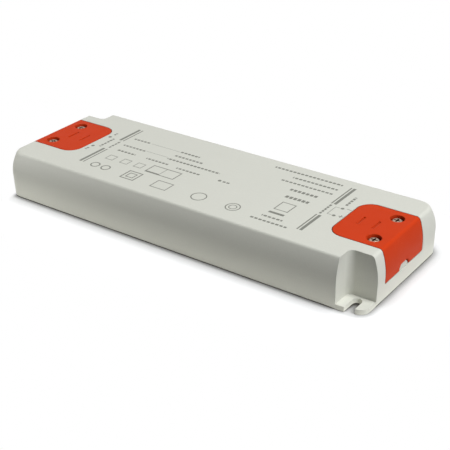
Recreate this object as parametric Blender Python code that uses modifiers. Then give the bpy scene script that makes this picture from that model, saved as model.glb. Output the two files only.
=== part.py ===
# Slim LED driver: a crowned plastic case with two corner ears and a screwed wire cover at each end.
#
# X runs along the case, from the mains end (-X) to the lamp end (+X), Y across it and Z up.
# The origin is the middle of the underside. Every length is in metres.
#
# The case looks the same from both ends: each end is the other one turned half round about Z,
# so what belongs to an end is modelled at the +X end and hangs on an empty that turns it.

import math

import bmesh
import bpy
from mathutils import Matrix, Vector

# Case
CASE_LENGTH = 0.1800
CASE_WIDTH = 0.0610
CASE_HEIGHT = 0.0207
CROWN_HEIGHT = 0.0100           # level at which the bowed walls stand widest
SIDE_TOP_INSET = 0.0024         # how far the long walls lean in at the top edge
SIDE_FOOT_INSET = 0.0001
END_TOP_INSET = 0.0021
END_FOOT_INSET = 0.0002
CORNER_RADIUS = 0.0055
END_CREASE = 0.0011             # round between the top and the end walls
SIDE_CREASE = 0.0006            # the same at the long walls, at most as large
FOOT_RADIUS = 0.0004            # round between the walls and the underside
WALL = 0.0018
RIM_WALL = 0.0010               # the wall is thinner where the base plate drops in

# Corner notches and the ears on their floors
NOTCH_LENGTH = 0.0118
NOTCH_DEPTH = 0.0096
NOTCH_RADIUS = 0.0026
EAR_THICKNESS = 0.0020
EAR_SIDE_INSET = 0.0002
EAR_END_INSET = 0.0003
EAR_RADIUS = 0.0040
EAR_LIP = 0.0011                # the outer prong of a slot ends this far behind the inner one
EAR_ROOT = 0.0006               # how far an ear runs into the walls that carry it
SLOT_WIDTH = 0.0039
SLOT_SETBACK = 0.0063           # from the end of the case to the slot's middle
SLOT_DEPTH = 0.0081

# Wire covers
COVER_LENGTH = 0.0255
COVER_WIDTH = 0.0296
COVER_RADIUS = 0.0060
COVER_FOOT = 0.0069             # height of the cover's lower edge on the end face
COVER_FOOT_RADIUS = 0.0008
COVER_THICKNESS = 0.0015
SEAM = 0.0003
LEDGE_WIDTH = 0.0010            # lip of the case that the cover's rim lies on
LEDGE_MARGIN = 0.0015
LEDGE_THICKNESS = 0.0014
GRIP_LENGTH = 0.0065
GRIP_WIDTH = 0.0010
GRIP_DEPTH = 0.0003
GRIP_SETBACKS = (0.0126, 0.0192)

# Cable inlets
INLET_WIDTH = 0.0090
INLET_ROOF_WIDTH = 0.0052
INLET_RISE = 0.0024             # arch in the cover's lower edge
INLET_DIP = 0.0006              # groove in the cradle below it
INLET_RADIUS = 0.0010
CRADLE_LENGTH = 0.0080
CRADLE_WIDTH = 0.0104
CRADLE_THICKNESS = 0.0037
CLAMP_BAR_THICKNESS = 0.0018
SADDLE_RISE = 0.0014            # tongue of the case that fills most of the arch
SADDLE_LENGTH = 0.0030
SADDLE_GAP = 0.0004             # to the arch's slanting sides
SADDLE_WAIST = 0.0009           # the same to the pointed ends of the arch's foot
SADDLE_SETBACK = 0.0002
SADDLE_NOSE = 0.0008

# Cover screws, their holes and their posts
SCREW_SETBACK = 0.0085
SCREW_MARGIN = 0.0057           # from the cover's side to the screw's middle
SCREW_HEAD_RADIUS = 0.0025
SCREW_HEAD_HEIGHT = 0.0020
SCREW_HEAD_SINK = 0.0007        # from the cover's top down to the head
SCREW_SHANK_RADIUS = 0.00145
SCREW_LENGTH = 0.0080
SCREW_TIP = 0.0015
HEAD_PROFILE = ((66, 100), (88, 82), (100, 45))     # percent of the head's radius and height
SCREW_POINT = 25                # percentage of the shank's radius
RECESS_SPAN = 0.0028
RECESS_SLOT = 0.0007
RECESS_DEPTH = 0.0011
HEAD_HOLE_GAP = 0.0004
SHANK_GAP = 0.0002
BOSS_WALL = 0.0013
BOSS_HEIGHT = 0.0041            # from the head's seat down to the boss's foot
POST_RADIUS = 0.0034
PILOT_SPARE = 0.0010            # empty bore under the screw's tip

# Base plate and circuit board
BASE_THICKNESS = 0.0018
SEAT_GAP = 0.0003               # air between two pieces that touch
BOARD_LIFT = 0.0027
BOARD_THICKNESS = 0.0016
BOARD_GAP = 0.0005
BOARD_CORNER = 0.0010
STANDOFF_RADIUS = 0.0016
STANDOFF_EDGE = 0.0020          # from the board's edge to a standoff's middle
STANDOFF_PLACES = (-60, 0, 60)
HOLD_RIB_WIDTH = 0.0015
HOLD_RIB_REACH = 0.0020

# Leads and solder side
LEAD_SIDE = 0.0007
LEAD_GAP = 0.0002
LEAD_STUB = 0.0012              # what shows below the board
LEAD_BEND = 0.0022              # from a lying can's end to its leads' knees
HEADROOM_GAP = 0.0006

# Terminal blocks
TERMINAL_LENGTH = 0.0094
TERMINAL_PITCH = 0.0075
TERMINAL_CHEEK = 0.0008         # plastic outside the outer poles
TERMINAL_CHAMFER = 0.0016
TERMINAL_SETBACK = 0.0056       # from the board's end to the block's middle
TERMINAL_LEDGE_GAP = 0.0004
POCKET_WIDTH = 0.0050
POCKET_HEIGHT = 0.0046
POCKET_FLOOR = 0.0015
POCKET_DEPTH = 0.0070
CAGE_WALL = 0.0006
CAGE_LENGTH = 0.0052
CLAMP_SCREW_RADIUS = 0.0012
CLAMP_HEAD_RADIUS = 0.0019
CLAMP_HEAD_HEIGHT = 0.0014
CLAMP_SLOT_WIDTH = 0.0006
CLAMP_SLOT_DEPTH = 0.0007

# Mains side
FUSE_RADIUS = 0.0042
FUSE_HEIGHT = 0.0078
FUSE_PITCH = 0.0050
DISC_EDGE = 0.0008
CAN_EDGE = 12                   # percentages of a can's radius
CRIMP_LEVELS = (42, 32, 23)
THERMISTOR_RISE = 38            # *_RISE is a percentage of the headroom
THERMISTOR_THICKNESS = 0.0040
VARISTOR_RISE = 42
VARISTOR_THICKNESS = 0.0038
DISC_PITCH = 0.0050
DISC_LIFT = 0.0006              # a dipped disc stands this far off the board
FILM_LENGTH = 0.0130
FILM_WIDTH = 0.0060
FILM_RISE = 92
FILM_PITCH = 0.0100
FILM_EDGE = 0.0004
CHOKE_CORE_OUTER = 0.0080
CHOKE_CORE_INNER = 0.0040
CHOKE_CORE_RISE = 50
CHOKE_COPPER = 0.0012
CHOKE_SWEEP = math.radians(112.0)
CHOKE_LEAD_SPAN = 80            # percentage of a winding's sweep between its two leads
BRIDGE_LENGTH = 0.0085
BRIDGE_WIDTH = 0.0064
BRIDGE_HEIGHT = 0.0033
BRIDGE_PITCH = 0.0051
BULK_LENGTH = 0.0280
BULK_PITCH = 0.0050

# Power stage
SINK_SPAN = 29                  # *_SPAN is a percentage of the board's half length
SINK_WIDTH = 0.0150
SINK_RISE = 75
SINK_WALL = 0.0015
SINK_PIN_SETBACK = 0.0020
TAB_LENGTH = 0.0155
TAB_WIDTH = 0.0100
TAB_THICKNESS = 0.0029
TAB_STEP = 0.0060               # length of the thin mounting tab
PACK_THICKNESS = 0.0045
TAB_HOLE_RADIUS = 0.0017
TAB_HOLE_SETBACK = 0.0030
PACK_LEAD_PITCH = 0.00254
PACK_LEAD_REACH = 0.0038
SINK_SCREW_RADIUS = 0.0013
SINK_SCREW_HEAD_RADIUS = 0.0026
SINK_SCREW_HEAD_HEIGHT = 0.0018
CHIP_LENGTH = 0.0094
CHIP_WIDTH = 0.0064
CHIP_HEIGHT = 0.0033
CHIP_LIFT = 0.0005
CHIP_PITCH = 0.00254
CHIP_LEG_REACH = 0.0007
CHIP_EDGE = 0.0002
OPTO_LENGTH = 0.0046
SUPPLY_RADIUS = 0.0025
SUPPLY_RISE = 92
SUPPLY_PITCH = 0.0020
RESISTOR_RADIUS = 0.0017
RESISTOR_LENGTH = 0.0090
RESISTOR_LEAD_SPACING = 0.0126
RESISTOR_WAIST = 82             # percentage of the radius
RESISTOR_EDGE = 30
RESISTOR_CAP = 22               # percentage of the length
SAFETY_RISE = 34
SAFETY_THICKNESS = 0.0035
SAFETY_PITCH = 0.0050

# Transformer
CORE_SPAN = 32
CORE_WIDTH = 0.0240
CORE_RISE = 50
CORE_BACK = 0.0030
CORE_CENTRE_LEG = 0.0080
CORE_SIDE_LEG = 0.0032
BOBBIN_WALL = 0.0008
BOBBIN_PINS = 4
BOBBIN_PITCH = 0.0038
WINDING_MARGIN = 0.0005         # how far the flanges stand past the winding
WINDING_CORNER = 0.0012

# Lamp side
OUTPUT_LENGTH = 0.0180
OUTPUT_RISE = 42
OUTPUT_PITCH = 0.0050
DRUM_RADIUS = 0.0060
DRUM_RISE = 84
DRUM_WAIST = 0.0030
DRUM_FLANGE = 0.0015
DRUM_WIRE_MARGIN = 0.0005
DRUM_PITCH = 0.0070
REFERENCE_WIDTH = 0.0046
REFERENCE_DEPTH = 0.0036
REFERENCE_HEIGHT = 0.0046
REFERENCE_LIFT = 0.0015
REFERENCE_PITCH = 0.0019
REFERENCE_ROUND = 80            # percentage of the half width

# Where each component stands, in percent of the board's half length and half width
FUSE_PLACE = (-86, -62)
THERMISTOR_PLACE = (-93, 62)
VARISTOR_PLACE = (-74, -62)
FILM_PLACE = (-78, 62)
CHOKE_PLACE = (-70, 0)
BRIDGE_PLACE = (-60, 60)
BULK_PLACE = (-42, -52)
PRIMARY_SINK_PLACE = (-30, 55)
CHIP_PLACE = (-42, 0)
SUPPLY_PLACE = (-29, 0)
RESISTOR_PLACE = (-19, 0)
TRANSFORMER_PLACE = (6, 0)
SAFETY_PLACE = (6, -72)
OPTO_PLACE = (6, 70)
OUTPUT_SINK_PLACE = (40, 55)
OUTPUT_PLACES = ((36, -45), (55, -45))
DRUM_PLACE = (72, 0)
REFERENCE_PLACE = (30, 7)

# Finishes: colour, roughness, metallic
FINISHES = {
    "case_plastic": ((0.66, 0.66, 0.62), 0.45, 0.0),
    "cover_plastic": ((0.62, 0.07, 0.02), 0.40, 0.0),
    "zinc_steel": ((0.62, 0.62, 0.60), 0.30, 1.0),
    "board_laminate": ((0.52, 0.36, 0.16), 0.60, 0.0),
    "terminal_plastic": ((0.05, 0.22, 0.12), 0.50, 0.0),
    "brass": ((0.70, 0.52, 0.22), 0.35, 1.0),
    "brown_plastic": ((0.16, 0.08, 0.04), 0.45, 0.0),
    "dark_epoxy": ((0.03, 0.03, 0.03), 0.55, 0.0),
    "blue_epoxy": ((0.04, 0.12, 0.40), 0.45, 0.0),
    "green_epoxy": ((0.04, 0.10, 0.06), 0.50, 0.0),
    "yellow_plastic": ((0.70, 0.52, 0.10), 0.45, 0.0),
    "ferrite": ((0.07, 0.07, 0.075), 0.70, 0.0),
    "copper_wire": ((0.55, 0.22, 0.09), 0.35, 1.0),
    "black_sleeve": ((0.02, 0.02, 0.025), 0.35, 0.0),
    "aluminium": ((0.75, 0.75, 0.77), 0.40, 1.0),
    "winding_tape": ((0.75, 0.55, 0.08), 0.40, 0.0),
    "ceramic_blue": ((0.10, 0.28, 0.52), 0.50, 0.0),
    "resistor_coat": ((0.30, 0.42, 0.46), 0.50, 0.0),
}

# Fineness of round shapes and other counts
CORNER_STEPS = 6
BOW_STEPS = 7
CREASE_STEPS = 3
FOOT_STEPS = 2
ROUND_STEPS = 24
SMALL_STEPS = 12
INLET_STEPS = 3
REFERENCE_STEPS = 4
SHARP_ANGLE = math.radians(32.0)
REACH = 0.0100                  # how far a cutter runs past what it cuts
SAME_POINT = 0.000001
BITE = 0.0004                   # how far one fused shape runs into the other
WHOLE = 100                     # what a percentage is a part of
QUARTER_TURN = math.radians(90.0)

# Levels and sizes that follow from the values above
HALF_LENGTH = CASE_LENGTH / 2
HALF_WIDTH = CASE_WIDTH / 2
NOTCH_X = HALF_LENGTH - NOTCH_LENGTH
NOTCH_Y = HALF_WIDTH - NOTCH_DEPTH
COVER_X = HALF_LENGTH - COVER_LENGTH
SCREW_X = HALF_LENGTH - SCREW_SETBACK
SCREW_Y = COVER_WIDTH / 2 - SCREW_MARGIN
SCREW_SEAT = CASE_HEIGHT - SCREW_HEAD_SINK - SCREW_HEAD_HEIGHT - SEAT_GAP
HEAD_HOLE_RADIUS = SCREW_HEAD_RADIUS + HEAD_HOLE_GAP
BOSS_FOOT = SCREW_SEAT - BOSS_HEIGHT
LEDGE_DEPTH = COVER_THICKNESS + SEAT_GAP + LEDGE_THICKNESS
RIM_HEIGHT = BASE_THICKNESS + SEAT_GAP
BOARD_FLOOR = BASE_THICKNESS + BOARD_LIFT
BOARD_TOP = BOARD_FLOOR + BOARD_THICKNESS
BOARD_HALF_LENGTH = NOTCH_X - WALL - BOARD_GAP
BOARD_HALF_WIDTH = HALF_WIDTH - SIDE_FOOT_INSET - WALL - BOARD_GAP
DECK = BOARD_TOP + SEAT_GAP     # level on which the components stand
CEILING = CASE_HEIGHT - WALL
TALL = CEILING - DECK - HEADROOM_GAP
THERMISTOR_RADIUS = TALL * THERMISTOR_RISE / WHOLE
VARISTOR_RADIUS = TALL * VARISTOR_RISE / WHOLE
FILM_HEIGHT = TALL * FILM_RISE / WHOLE
CHOKE_CORE_HEIGHT = TALL * CHOKE_CORE_RISE / WHOLE
SINK_LENGTH = BOARD_HALF_LENGTH * SINK_SPAN / WHOLE
SINK_HEIGHT = TALL * SINK_RISE / WHOLE
SUPPLY_HEIGHT = TALL * SUPPLY_RISE / WHOLE
SAFETY_RADIUS = TALL * SAFETY_RISE / WHOLE
CORE_LENGTH = BOARD_HALF_LENGTH * CORE_SPAN / WHOLE
CORE_HEIGHT = TALL * CORE_RISE / WHOLE
OUTPUT_RADIUS = TALL * OUTPUT_RISE / WHOLE
DRUM_HEIGHT = TALL * DRUM_RISE / WHOLE
TERMINAL_X = BOARD_HALF_LENGTH - TERMINAL_SETBACK
TERMINAL_HEIGHT = CASE_HEIGHT - LEDGE_DEPTH - TERMINAL_LEDGE_GAP - DECK
LEAD_FOOT = BOARD_FLOOR - LEAD_STUB

board_holes = []


# Collections, materials and objects

def clear_scene():
    for thing in list(bpy.data.objects):
        bpy.data.objects.remove(thing, do_unlink=True)


def new_collection(name):
    group = bpy.data.collections.new(name)
    bpy.context.scene.collection.children.link(group)
    return group


def finish(name):
    material = bpy.data.materials.get(name)
    if material is None:
        colour, roughness, metallic = FINISHES[name]
        material = bpy.data.materials.new(name)
        material.use_nodes = True
        shader = material.node_tree.nodes["Principled BSDF"]
        shader.inputs["Base Color"].default_value = (*colour, 1.0)
        shader.inputs["Roughness"].default_value = roughness
        shader.inputs["Metallic"].default_value = metallic
    return material


def soft_shading():
    """Node group that shades a finished shape smooth, except over edges sharper than the limit."""
    group = bpy.data.node_groups.get("soft_shading")
    if group:
        return group
    group = bpy.data.node_groups.new("soft_shading", "GeometryNodeTree")
    group.interface.new_socket("Shape", in_out="INPUT", socket_type="NodeSocketGeometry")
    group.interface.new_socket("Shape", in_out="OUTPUT", socket_type="NodeSocketGeometry")
    start, end = group.nodes.new("NodeGroupInput"), group.nodes.new("NodeGroupOutput")
    angle = group.nodes.new("GeometryNodeInputMeshEdgeAngle")
    limit = group.nodes.new("FunctionNodeCompare")
    limit.operation = "LESS_THAN"
    limit.inputs["B"].default_value = SHARP_ANGLE
    faces, edges = (group.nodes.new("GeometryNodeSetShadeSmooth") for _ in range(2))
    edges.domain = "EDGE"
    for output, target in ((start.outputs[0], faces.inputs["Geometry"]),
                           (faces.outputs["Geometry"], edges.inputs["Geometry"]),
                           (angle.outputs["Unsigned Angle"], limit.inputs["A"]),
                           (limit.outputs["Result"], edges.inputs["Shade Smooth"]),
                           (edges.outputs["Geometry"], end.inputs[0])):
        group.links.new(output, target)
    return group


def tool(mesh, name):
    """A cutter or a shape to fuse: it shapes other pieces and isn't a piece itself."""
    shape = bpy.data.objects.new(name, mesh)
    cutters.objects.link(shape)
    shape.hide_render = True
    shape.display_type = "WIRE"
    return shape


def piece(shape, finish_name, name=None):
    """Turn a tool into a piece of the driver."""
    cutters.objects.unlink(shape)
    parts.objects.link(shape)
    shape.hide_render = False
    shape.display_type = "TEXTURED"
    shape.name = name or shape.name
    shape.data.materials.clear()
    shape.data.materials.append(finish(finish_name))
    shape.modifiers.new("soft_shading", "NODES").node_group = soft_shading()
    return shape


def boolean(shape, other, operation):
    """Let one shape cut or join another, and travel with it."""
    step = shape.modifiers.new(other.name, "BOOLEAN")
    step.operation = operation
    step.solver = "EXACT"
    step.object = other
    if other.parent is None:
        other.parent = shape
        other.matrix_parent_inverse = shape.matrix_basis.inverted()


def cut(shape, *others):
    for other in others:
        boolean(shape, other, "DIFFERENCE")


def fuse(shape, *others):
    for other in others:
        boolean(shape, other, "UNION")


def trim_to(shape, other):
    boolean(shape, other, "INTERSECT")


def hang(end, *shapes):
    """Turn shapes made for the +X end to the end that they belong to."""
    for shape in shapes:
        shape.parent = end


def merged(name, shapes):
    """Separate tools as one, with their places written into the mesh."""
    bm = bmesh.new()
    for shape in shapes:
        shape.data.transform(shape.matrix_basis)
        bm.from_mesh(shape.data)
        bpy.data.objects.remove(shape)
    return tool(mesh_from(bm, name), name)


# Basic shapes

def mesh_from(bm, name):
    bmesh.ops.recalc_face_normals(bm, faces=bm.faces)
    mesh = bpy.data.meshes.new(name)
    bm.to_mesh(mesh)
    bm.free()
    return mesh


def box(name, low, high, bevel=0.0, steps=1):
    """A block between two corners, with its edges rounded if bevel isn't zero."""
    return blocks(name, [(low, high)], bevel, steps)


def blocks(name, corners, bevel=0.0, steps=1):
    """Separate blocks in one shape."""
    bm = bmesh.new()
    for low, high in corners:
        low, high = Vector(low), Vector(high)
        size = Matrix.Diagonal((*(high - low), 1.0))
        bmesh.ops.create_cube(bm, size=1.0, matrix=Matrix.Translation((low + high) / 2) @ size)
    if bevel:
        bmesh.ops.bevel(bm, geom=bm.edges[:], offset=bevel, segments=steps, profile=0.5,
                        affect="EDGES")
    return tool(mesh_from(bm, name), name)


def rods(name, places, radius, low, high, steps=ROUND_STEPS):
    """Upright round rods, or the holes that they make."""
    bm = bmesh.new()
    for x, y in places:
        bmesh.ops.create_cone(bm, cap_ends=True, segments=steps, radius1=radius, radius2=radius,
                              depth=high - low, matrix=Matrix.Translation((x, y, (low + high) / 2)))
    return tool(mesh_from(bm, name), name)


def lathe(name, profile, steps=ROUND_STEPS, ring=False):
    """A turned shape about Z: the profile of (radius, height) runs down its outer side."""
    bm = bmesh.new()
    points = [bm.verts.new((radius, 0.0, height)) for radius, height in profile]
    for first, second in zip(points, points[1:]):
        bm.edges.new((first, second))
    if ring:
        bm.edges.new((points[-1], points[0]))
    mesh = bpy.data.meshes.new(name)
    bm.to_mesh(mesh)
    bm.free()
    shape = tool(mesh, name)
    spin = shape.modifiers.new("turn", "SCREW")
    spin.axis = "Z"
    spin.steps = steps
    spin.render_steps = steps
    spin.use_merge_vertices = True
    spin.merge_threshold = 0.00001
    return shape


def rounded(corners, steps=CORNER_STEPS):
    """Outline with an arc at each corner (x, y, radius)."""
    outline = []
    for index, (x, y, radius) in enumerate(corners):
        here = Vector((x, y))
        if radius <= 0.0:
            outline.append(here)
            continue
        back = (Vector(corners[index - 1][:2]) - here).normalized()
        ahead = (Vector(corners[(index + 1) % len(corners)][:2]) - here).normalized()
        half = back.angle(ahead) / 2
        centre = here + (back + ahead).normalized() * (radius / math.sin(half))
        start = here + back * (radius / math.tan(half)) - centre
        turn = start.angle_signed(here + ahead * (radius / math.tan(half)) - centre)
        for step in range(steps + 1):
            point = centre + Matrix.Rotation(-turn * step / steps, 2) @ start
            if not outline or (point - outline[-1]).length > SAME_POINT:
                outline.append(point)
    return outline


def prism(name, outline, low, high, axis="Z"):
    """A flat outline drawn out along an axis, as (x, y), (x, z) or (y, z) by that axis."""
    curve = bpy.data.curves.new(name, "CURVE")
    curve.dimensions = "2D"
    curve.fill_mode = "BOTH"
    curve.extrude = (high - low) / 2
    spline = curve.splines.new("POLY")
    spline.points.add(len(outline) - 1)
    for point, (u, v) in zip(spline.points, outline):
        point.co = (u, v, 0.0, 1.0)
    spline.use_cyclic_u = True
    drawn = bpy.data.objects.new(name, curve)
    bpy.context.scene.collection.objects.link(drawn)
    flat = bpy.data.meshes.new_from_object(drawn.evaluated_get(bpy.context.evaluated_depsgraph_get()))
    bpy.data.objects.remove(drawn)
    bm = bmesh.new()
    bm.from_mesh(flat)
    bmesh.ops.remove_doubles(bm, verts=bm.verts, dist=SAME_POINT)
    middle = (low + high) / 2
    stand = {"Z": Matrix.Translation((0.0, 0.0, middle)),
             "Y": Matrix.Translation((0.0, middle, 0.0)) @ Matrix.Rotation(math.pi / 2, 4, "X"),
             "X": Matrix.Translation((middle, 0.0, 0.0)) @ Matrix.Rotation(math.pi / 2, 4, "Z")
                  @ Matrix.Rotation(math.pi / 2, 4, "X")}[axis]
    bm.transform(stand)
    return tool(mesh_from(bm, name), name)


def rectangle(half_x, half_y, radius, centre=(0.0, 0.0)):
    x, y = centre
    return rounded([(x + half_x, y - half_y, radius), (x + half_x, y + half_y, radius),
                    (x - half_x, y + half_y, radius), (x - half_x, y - half_y, radius)])


def both_ends(name, shape):
    """A tool made for the +X end, with a second one turned half round."""
    bm = bmesh.new()
    bm.from_mesh(shape.data)
    shape.data.transform(Matrix.Rotation(math.pi, 4, "Z"))
    bm.from_mesh(shape.data)
    bpy.data.objects.remove(shape)
    return tool(mesh_from(bm, name), name)


# The bowed body that the case and its covers are cut from

def bow(height, top_inset, foot_inset):
    """How far a wall stands in from its widest level: an arc above it, a straight draft below."""
    if height <= CROWN_HEIGHT:
        return foot_inset * (CROWN_HEIGHT - height) / CROWN_HEIGHT
    rise = CASE_HEIGHT - CROWN_HEIGHT
    radius = (rise ** 2 + top_inset ** 2) / (2 * top_inset)
    return radius - math.sqrt(radius ** 2 - (height - CROWN_HEIGHT) ** 2)


def round_lean(height, start, radius):
    """How far a round that begins at a level leans in at a height beyond it."""
    rise = min(max(height - start, 0.0), radius)
    return radius - math.sqrt(radius ** 2 - rise ** 2)


def skin_lean(height, crease):
    """How far the case's rounds lean in at a height: at the foot and, by its radius, at the top."""
    return (round_lean(-height, -FOOT_RADIUS, FOOT_RADIUS)
            + round_lean(height, CASE_HEIGHT - crease, crease))


def case_ring(height, inset, skin):
    lean_x = skin_lean(height, END_CREASE) if skin else 0.0
    lean_y = skin_lean(height, SIDE_CREASE) if skin else 0.0
    half_x = HALF_LENGTH - bow(height, END_TOP_INSET, END_FOOT_INSET) - inset - lean_x
    half_y = HALF_WIDTH - bow(height, SIDE_TOP_INSET, SIDE_FOOT_INSET) - inset - lean_y
    corner = CORNER_RADIUS - inset - (lean_x + lean_y) / 2
    return rectangle(half_x, half_y, max(corner, END_CREASE))


def turns(steps):
    return [QUARTER_TURN * step / steps for step in range(1, steps + 1)]


def wall_levels(low, high, skin):
    """Levels of a wall's outlines; the skin has some more for its rounds."""
    low_start = FOOT_RADIUS if skin else low
    high_end = CASE_HEIGHT - END_CREASE if skin else high
    levels = [FOOT_RADIUS - FOOT_RADIUS * math.sin(turn) for turn in reversed(turns(FOOT_STEPS)) if skin]
    levels.append(low_start)
    if low < CROWN_HEIGHT < high:
        levels.append(CROWN_HEIGHT)
    start = max(low_start, CROWN_HEIGHT)
    steps = BOW_STEPS if high > CROWN_HEIGHT else 1
    levels += [start + (high_end - start) * step / steps for step in range(1, steps + 1)]
    levels += [high_end + END_CREASE * math.sin(turn) for turn in turns(CREASE_STEPS) if skin]
    return levels


def bowed_block(name, inset, low, high, skin=False):
    """A loft of plan outlines that follows the bowed walls at a given depth under the skin."""
    bm = bmesh.new()
    rings = [[bm.verts.new((*point, height)) for point in case_ring(height, inset, skin)]
             for height in wall_levels(low, high, skin)]
    for lower, upper in zip(rings, rings[1:]):
        for index, corner in enumerate(lower):
            side = (index + 1) % len(lower)
            if (index + 1) % (CORNER_STEPS + 1):
                bm.faces.new((corner, lower[side], upper[side]))
                bm.faces.new((corner, upper[side], upper[index]))
            else:
                bm.faces.new((corner, lower[side], upper[side], upper[index]))
    bm.faces.new(rings[0])
    bm.faces.new(rings[-1])
    return tool(mesh_from(bm, name), name)


def notch_blocks(name, margin, low, high):
    """Both corner notches, grown by a margin all round."""
    far_x = HALF_LENGTH + REACH
    far_y = HALF_WIDTH + REACH
    corner = rounded([(NOTCH_X - margin, -far_y, 0.0), (far_x, -far_y, 0.0),
                      (far_x, margin - NOTCH_Y, 0.0),
                      (NOTCH_X - margin, margin - NOTCH_Y, NOTCH_RADIUS + margin)])
    return both_ends(name, prism(name, corner, low, high))


def case_slab(name, inset, low, high):
    """A slice of the space inside the case, clear of the walls round the notches."""
    slab = bowed_block(name, inset, low, high)
    cut(slab, notch_blocks(name + "_notches", inset, low - REACH, high + REACH))
    return slab


# Housing

def ear_plates():
    """Two flat ears, each with a slot that is open to the long side."""
    edge_y = HALF_WIDTH - EAR_SIDE_INSET
    edge_x = HALF_LENGTH - EAR_END_INSET
    root_x = NOTCH_X - EAR_ROOT
    root_y = NOTCH_Y - EAR_ROOT
    slot_x = HALF_LENGTH - SLOT_SETBACK
    half_slot = SLOT_WIDTH / 2
    outline = rounded([(root_x, -edge_y, 0.0), (slot_x - half_slot, -edge_y, 0.0),
                       (slot_x - half_slot, SLOT_DEPTH - edge_y, half_slot),
                       (slot_x + half_slot, SLOT_DEPTH - edge_y, half_slot),
                       (slot_x + half_slot, EAR_LIP - edge_y, 0.0),
                       (edge_x, EAR_LIP - edge_y, EAR_RADIUS),
                       (edge_x, -root_y, 0.0), (root_x, -root_y, NOTCH_RADIUS + EAR_ROOT)])
    return both_ends("ears", prism("ear", outline, 0.0, EAR_THICKNESS))


def cover_block(name, grow):
    """The space of a wire cover, grown by a margin, through the top and the end of the case."""
    low_x = COVER_X - grow
    far_x = HALF_LENGTH + REACH
    foot = COVER_FOOT - grow
    half_y = COVER_WIDTH / 2 + grow
    radius = COVER_RADIUS + grow
    foot_radius = COVER_FOOT_RADIUS + max(grow, 0.0)
    top = CASE_HEIGHT + REACH
    plan = rounded([(far_x, -half_y, 0.0), (far_x, half_y, 0.0),
                    (low_x, half_y, radius), (low_x, -half_y, radius)])
    front = rounded([(-half_y, foot, foot_radius), (half_y, foot, foot_radius),
                     (half_y + REACH, top + REACH, 0.0), (-half_y - REACH, top + REACH, 0.0)])
    block = prism(name, plan, foot - REACH, top)
    trim_to(block, prism(name + "_foot", front, low_x - REACH, far_x + REACH, "X"))
    return block


def ledge_ring():
    """Thickened wall round the window, out of which the cover's seat is cut."""
    ring = bowed_block("ledge", WALL / 2, COVER_FOOT - LEDGE_MARGIN - REACH / 2, CASE_HEIGHT - WALL / 2)
    trim_to(ring, cover_block("ledge_outline", LEDGE_MARGIN))
    cut(ring, bowed_block("ledge_space", LEDGE_DEPTH, 0.0, CASE_HEIGHT - LEDGE_DEPTH))
    return ring


def cover_recess():
    """Room for the cover: a shallow seat all round the window."""
    recess = cover_block("cover_recess", SEAM)
    floor = COVER_THICKNESS + SEAT_GAP
    cut(recess, bowed_block("recess_floor", floor, 0.0, CASE_HEIGHT - floor))
    return recess


def inlet_channel():
    """The cable's way in: half of it arches into the cover, half dips into the cradle."""
    half_roof, half_y = INLET_ROOF_WIDTH / 2, INLET_WIDTH / 2
    low, high = COVER_FOOT - INLET_DIP, COVER_FOOT + INLET_RISE
    outline = rounded([(-half_roof, low, INLET_RADIUS), (half_roof, low, INLET_RADIUS),
                       (half_y, COVER_FOOT, INLET_RADIUS), (half_roof, high, INLET_RADIUS),
                       (-half_roof, high, INLET_RADIUS), (-half_y, COVER_FOOT, INLET_RADIUS)],
                      INLET_STEPS)
    start = HALF_LENGTH - WALL - CRADLE_LENGTH - BITE
    return prism("inlet_channel", outline, start, HALF_LENGTH + REACH, "X")


def cradle():
    """Shelf behind the end wall that carries the cable under the cover's clamp bar."""
    top = COVER_FOOT - SEAM
    return box("cradle", (HALF_LENGTH - WALL - CRADLE_LENGTH, -CRADLE_WIDTH / 2, top - CRADLE_THICKNESS),
               (HALF_LENGTH - END_FOOT_INSET - WALL / 2, CRADLE_WIDTH / 2, top))


def cable_saddle():
    """Tongue of the case behind the cover's arch, clear of the arch all round, with a round nose."""
    nose = HALF_LENGTH - END_FOOT_INSET - SADDLE_SETBACK
    root, top = COVER_FOOT - INLET_DIP - BITE, COVER_FOOT + SADDLE_RISE
    side = rounded([(nose - SADDLE_LENGTH, root, 0.0), (nose, root, 0.0), (nose, top, SADDLE_NOSE),
                    (nose - SADDLE_LENGTH, top, 0.0)], INLET_STEPS)
    saddle = prism("cable_saddle", side, -INLET_WIDTH, INLET_WIDTH, "Y")
    foot_y, roof_y = INLET_WIDTH / 2 - SADDLE_WAIST, INLET_ROOF_WIDTH / 2 - SADDLE_GAP
    root_y, roof = INLET_ROOF_WIDTH / 2, COVER_FOOT + INLET_RISE
    front = rounded([(-root_y, root - BITE, 0.0), (root_y, root - BITE, 0.0),
                     (foot_y, COVER_FOOT, INLET_RADIUS), (roof_y, roof, 0.0), (-roof_y, roof, 0.0),
                     (-foot_y, COVER_FOOT, INLET_RADIUS)], INLET_STEPS)
    trim_to(saddle, prism("saddle_sides", front, nose - SADDLE_LENGTH - REACH, nose + REACH, "X"))
    return saddle


def board_stations():
    """Where the board is held: standoffs under it and ribs over it, near both long edges."""
    edge = BOARD_HALF_WIDTH - STANDOFF_EDGE
    return [(place * BOARD_HALF_LENGTH / WHOLE, side * edge)
            for place in STANDOFF_PLACES for side in (-1, 1)]


def hold_down_ribs():
    inner = HALF_WIDTH - SIDE_FOOT_INSET - WALL - HOLD_RIB_REACH
    ribs = []
    for x, y in board_stations():
        near, far = sorted((math.copysign(inner, y), math.copysign(HALF_WIDTH, y)))
        ribs.append(((x - HOLD_RIB_WIDTH / 2, near, DECK), (x + HOLD_RIB_WIDTH / 2, far, CASE_HEIGHT)))
    shape = blocks("hold_down_ribs", ribs)
    trim_to(shape, bowed_block("rib_limit", WALL / 2, 0.0, CASE_HEIGHT - WALL / 2))
    return shape


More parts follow.
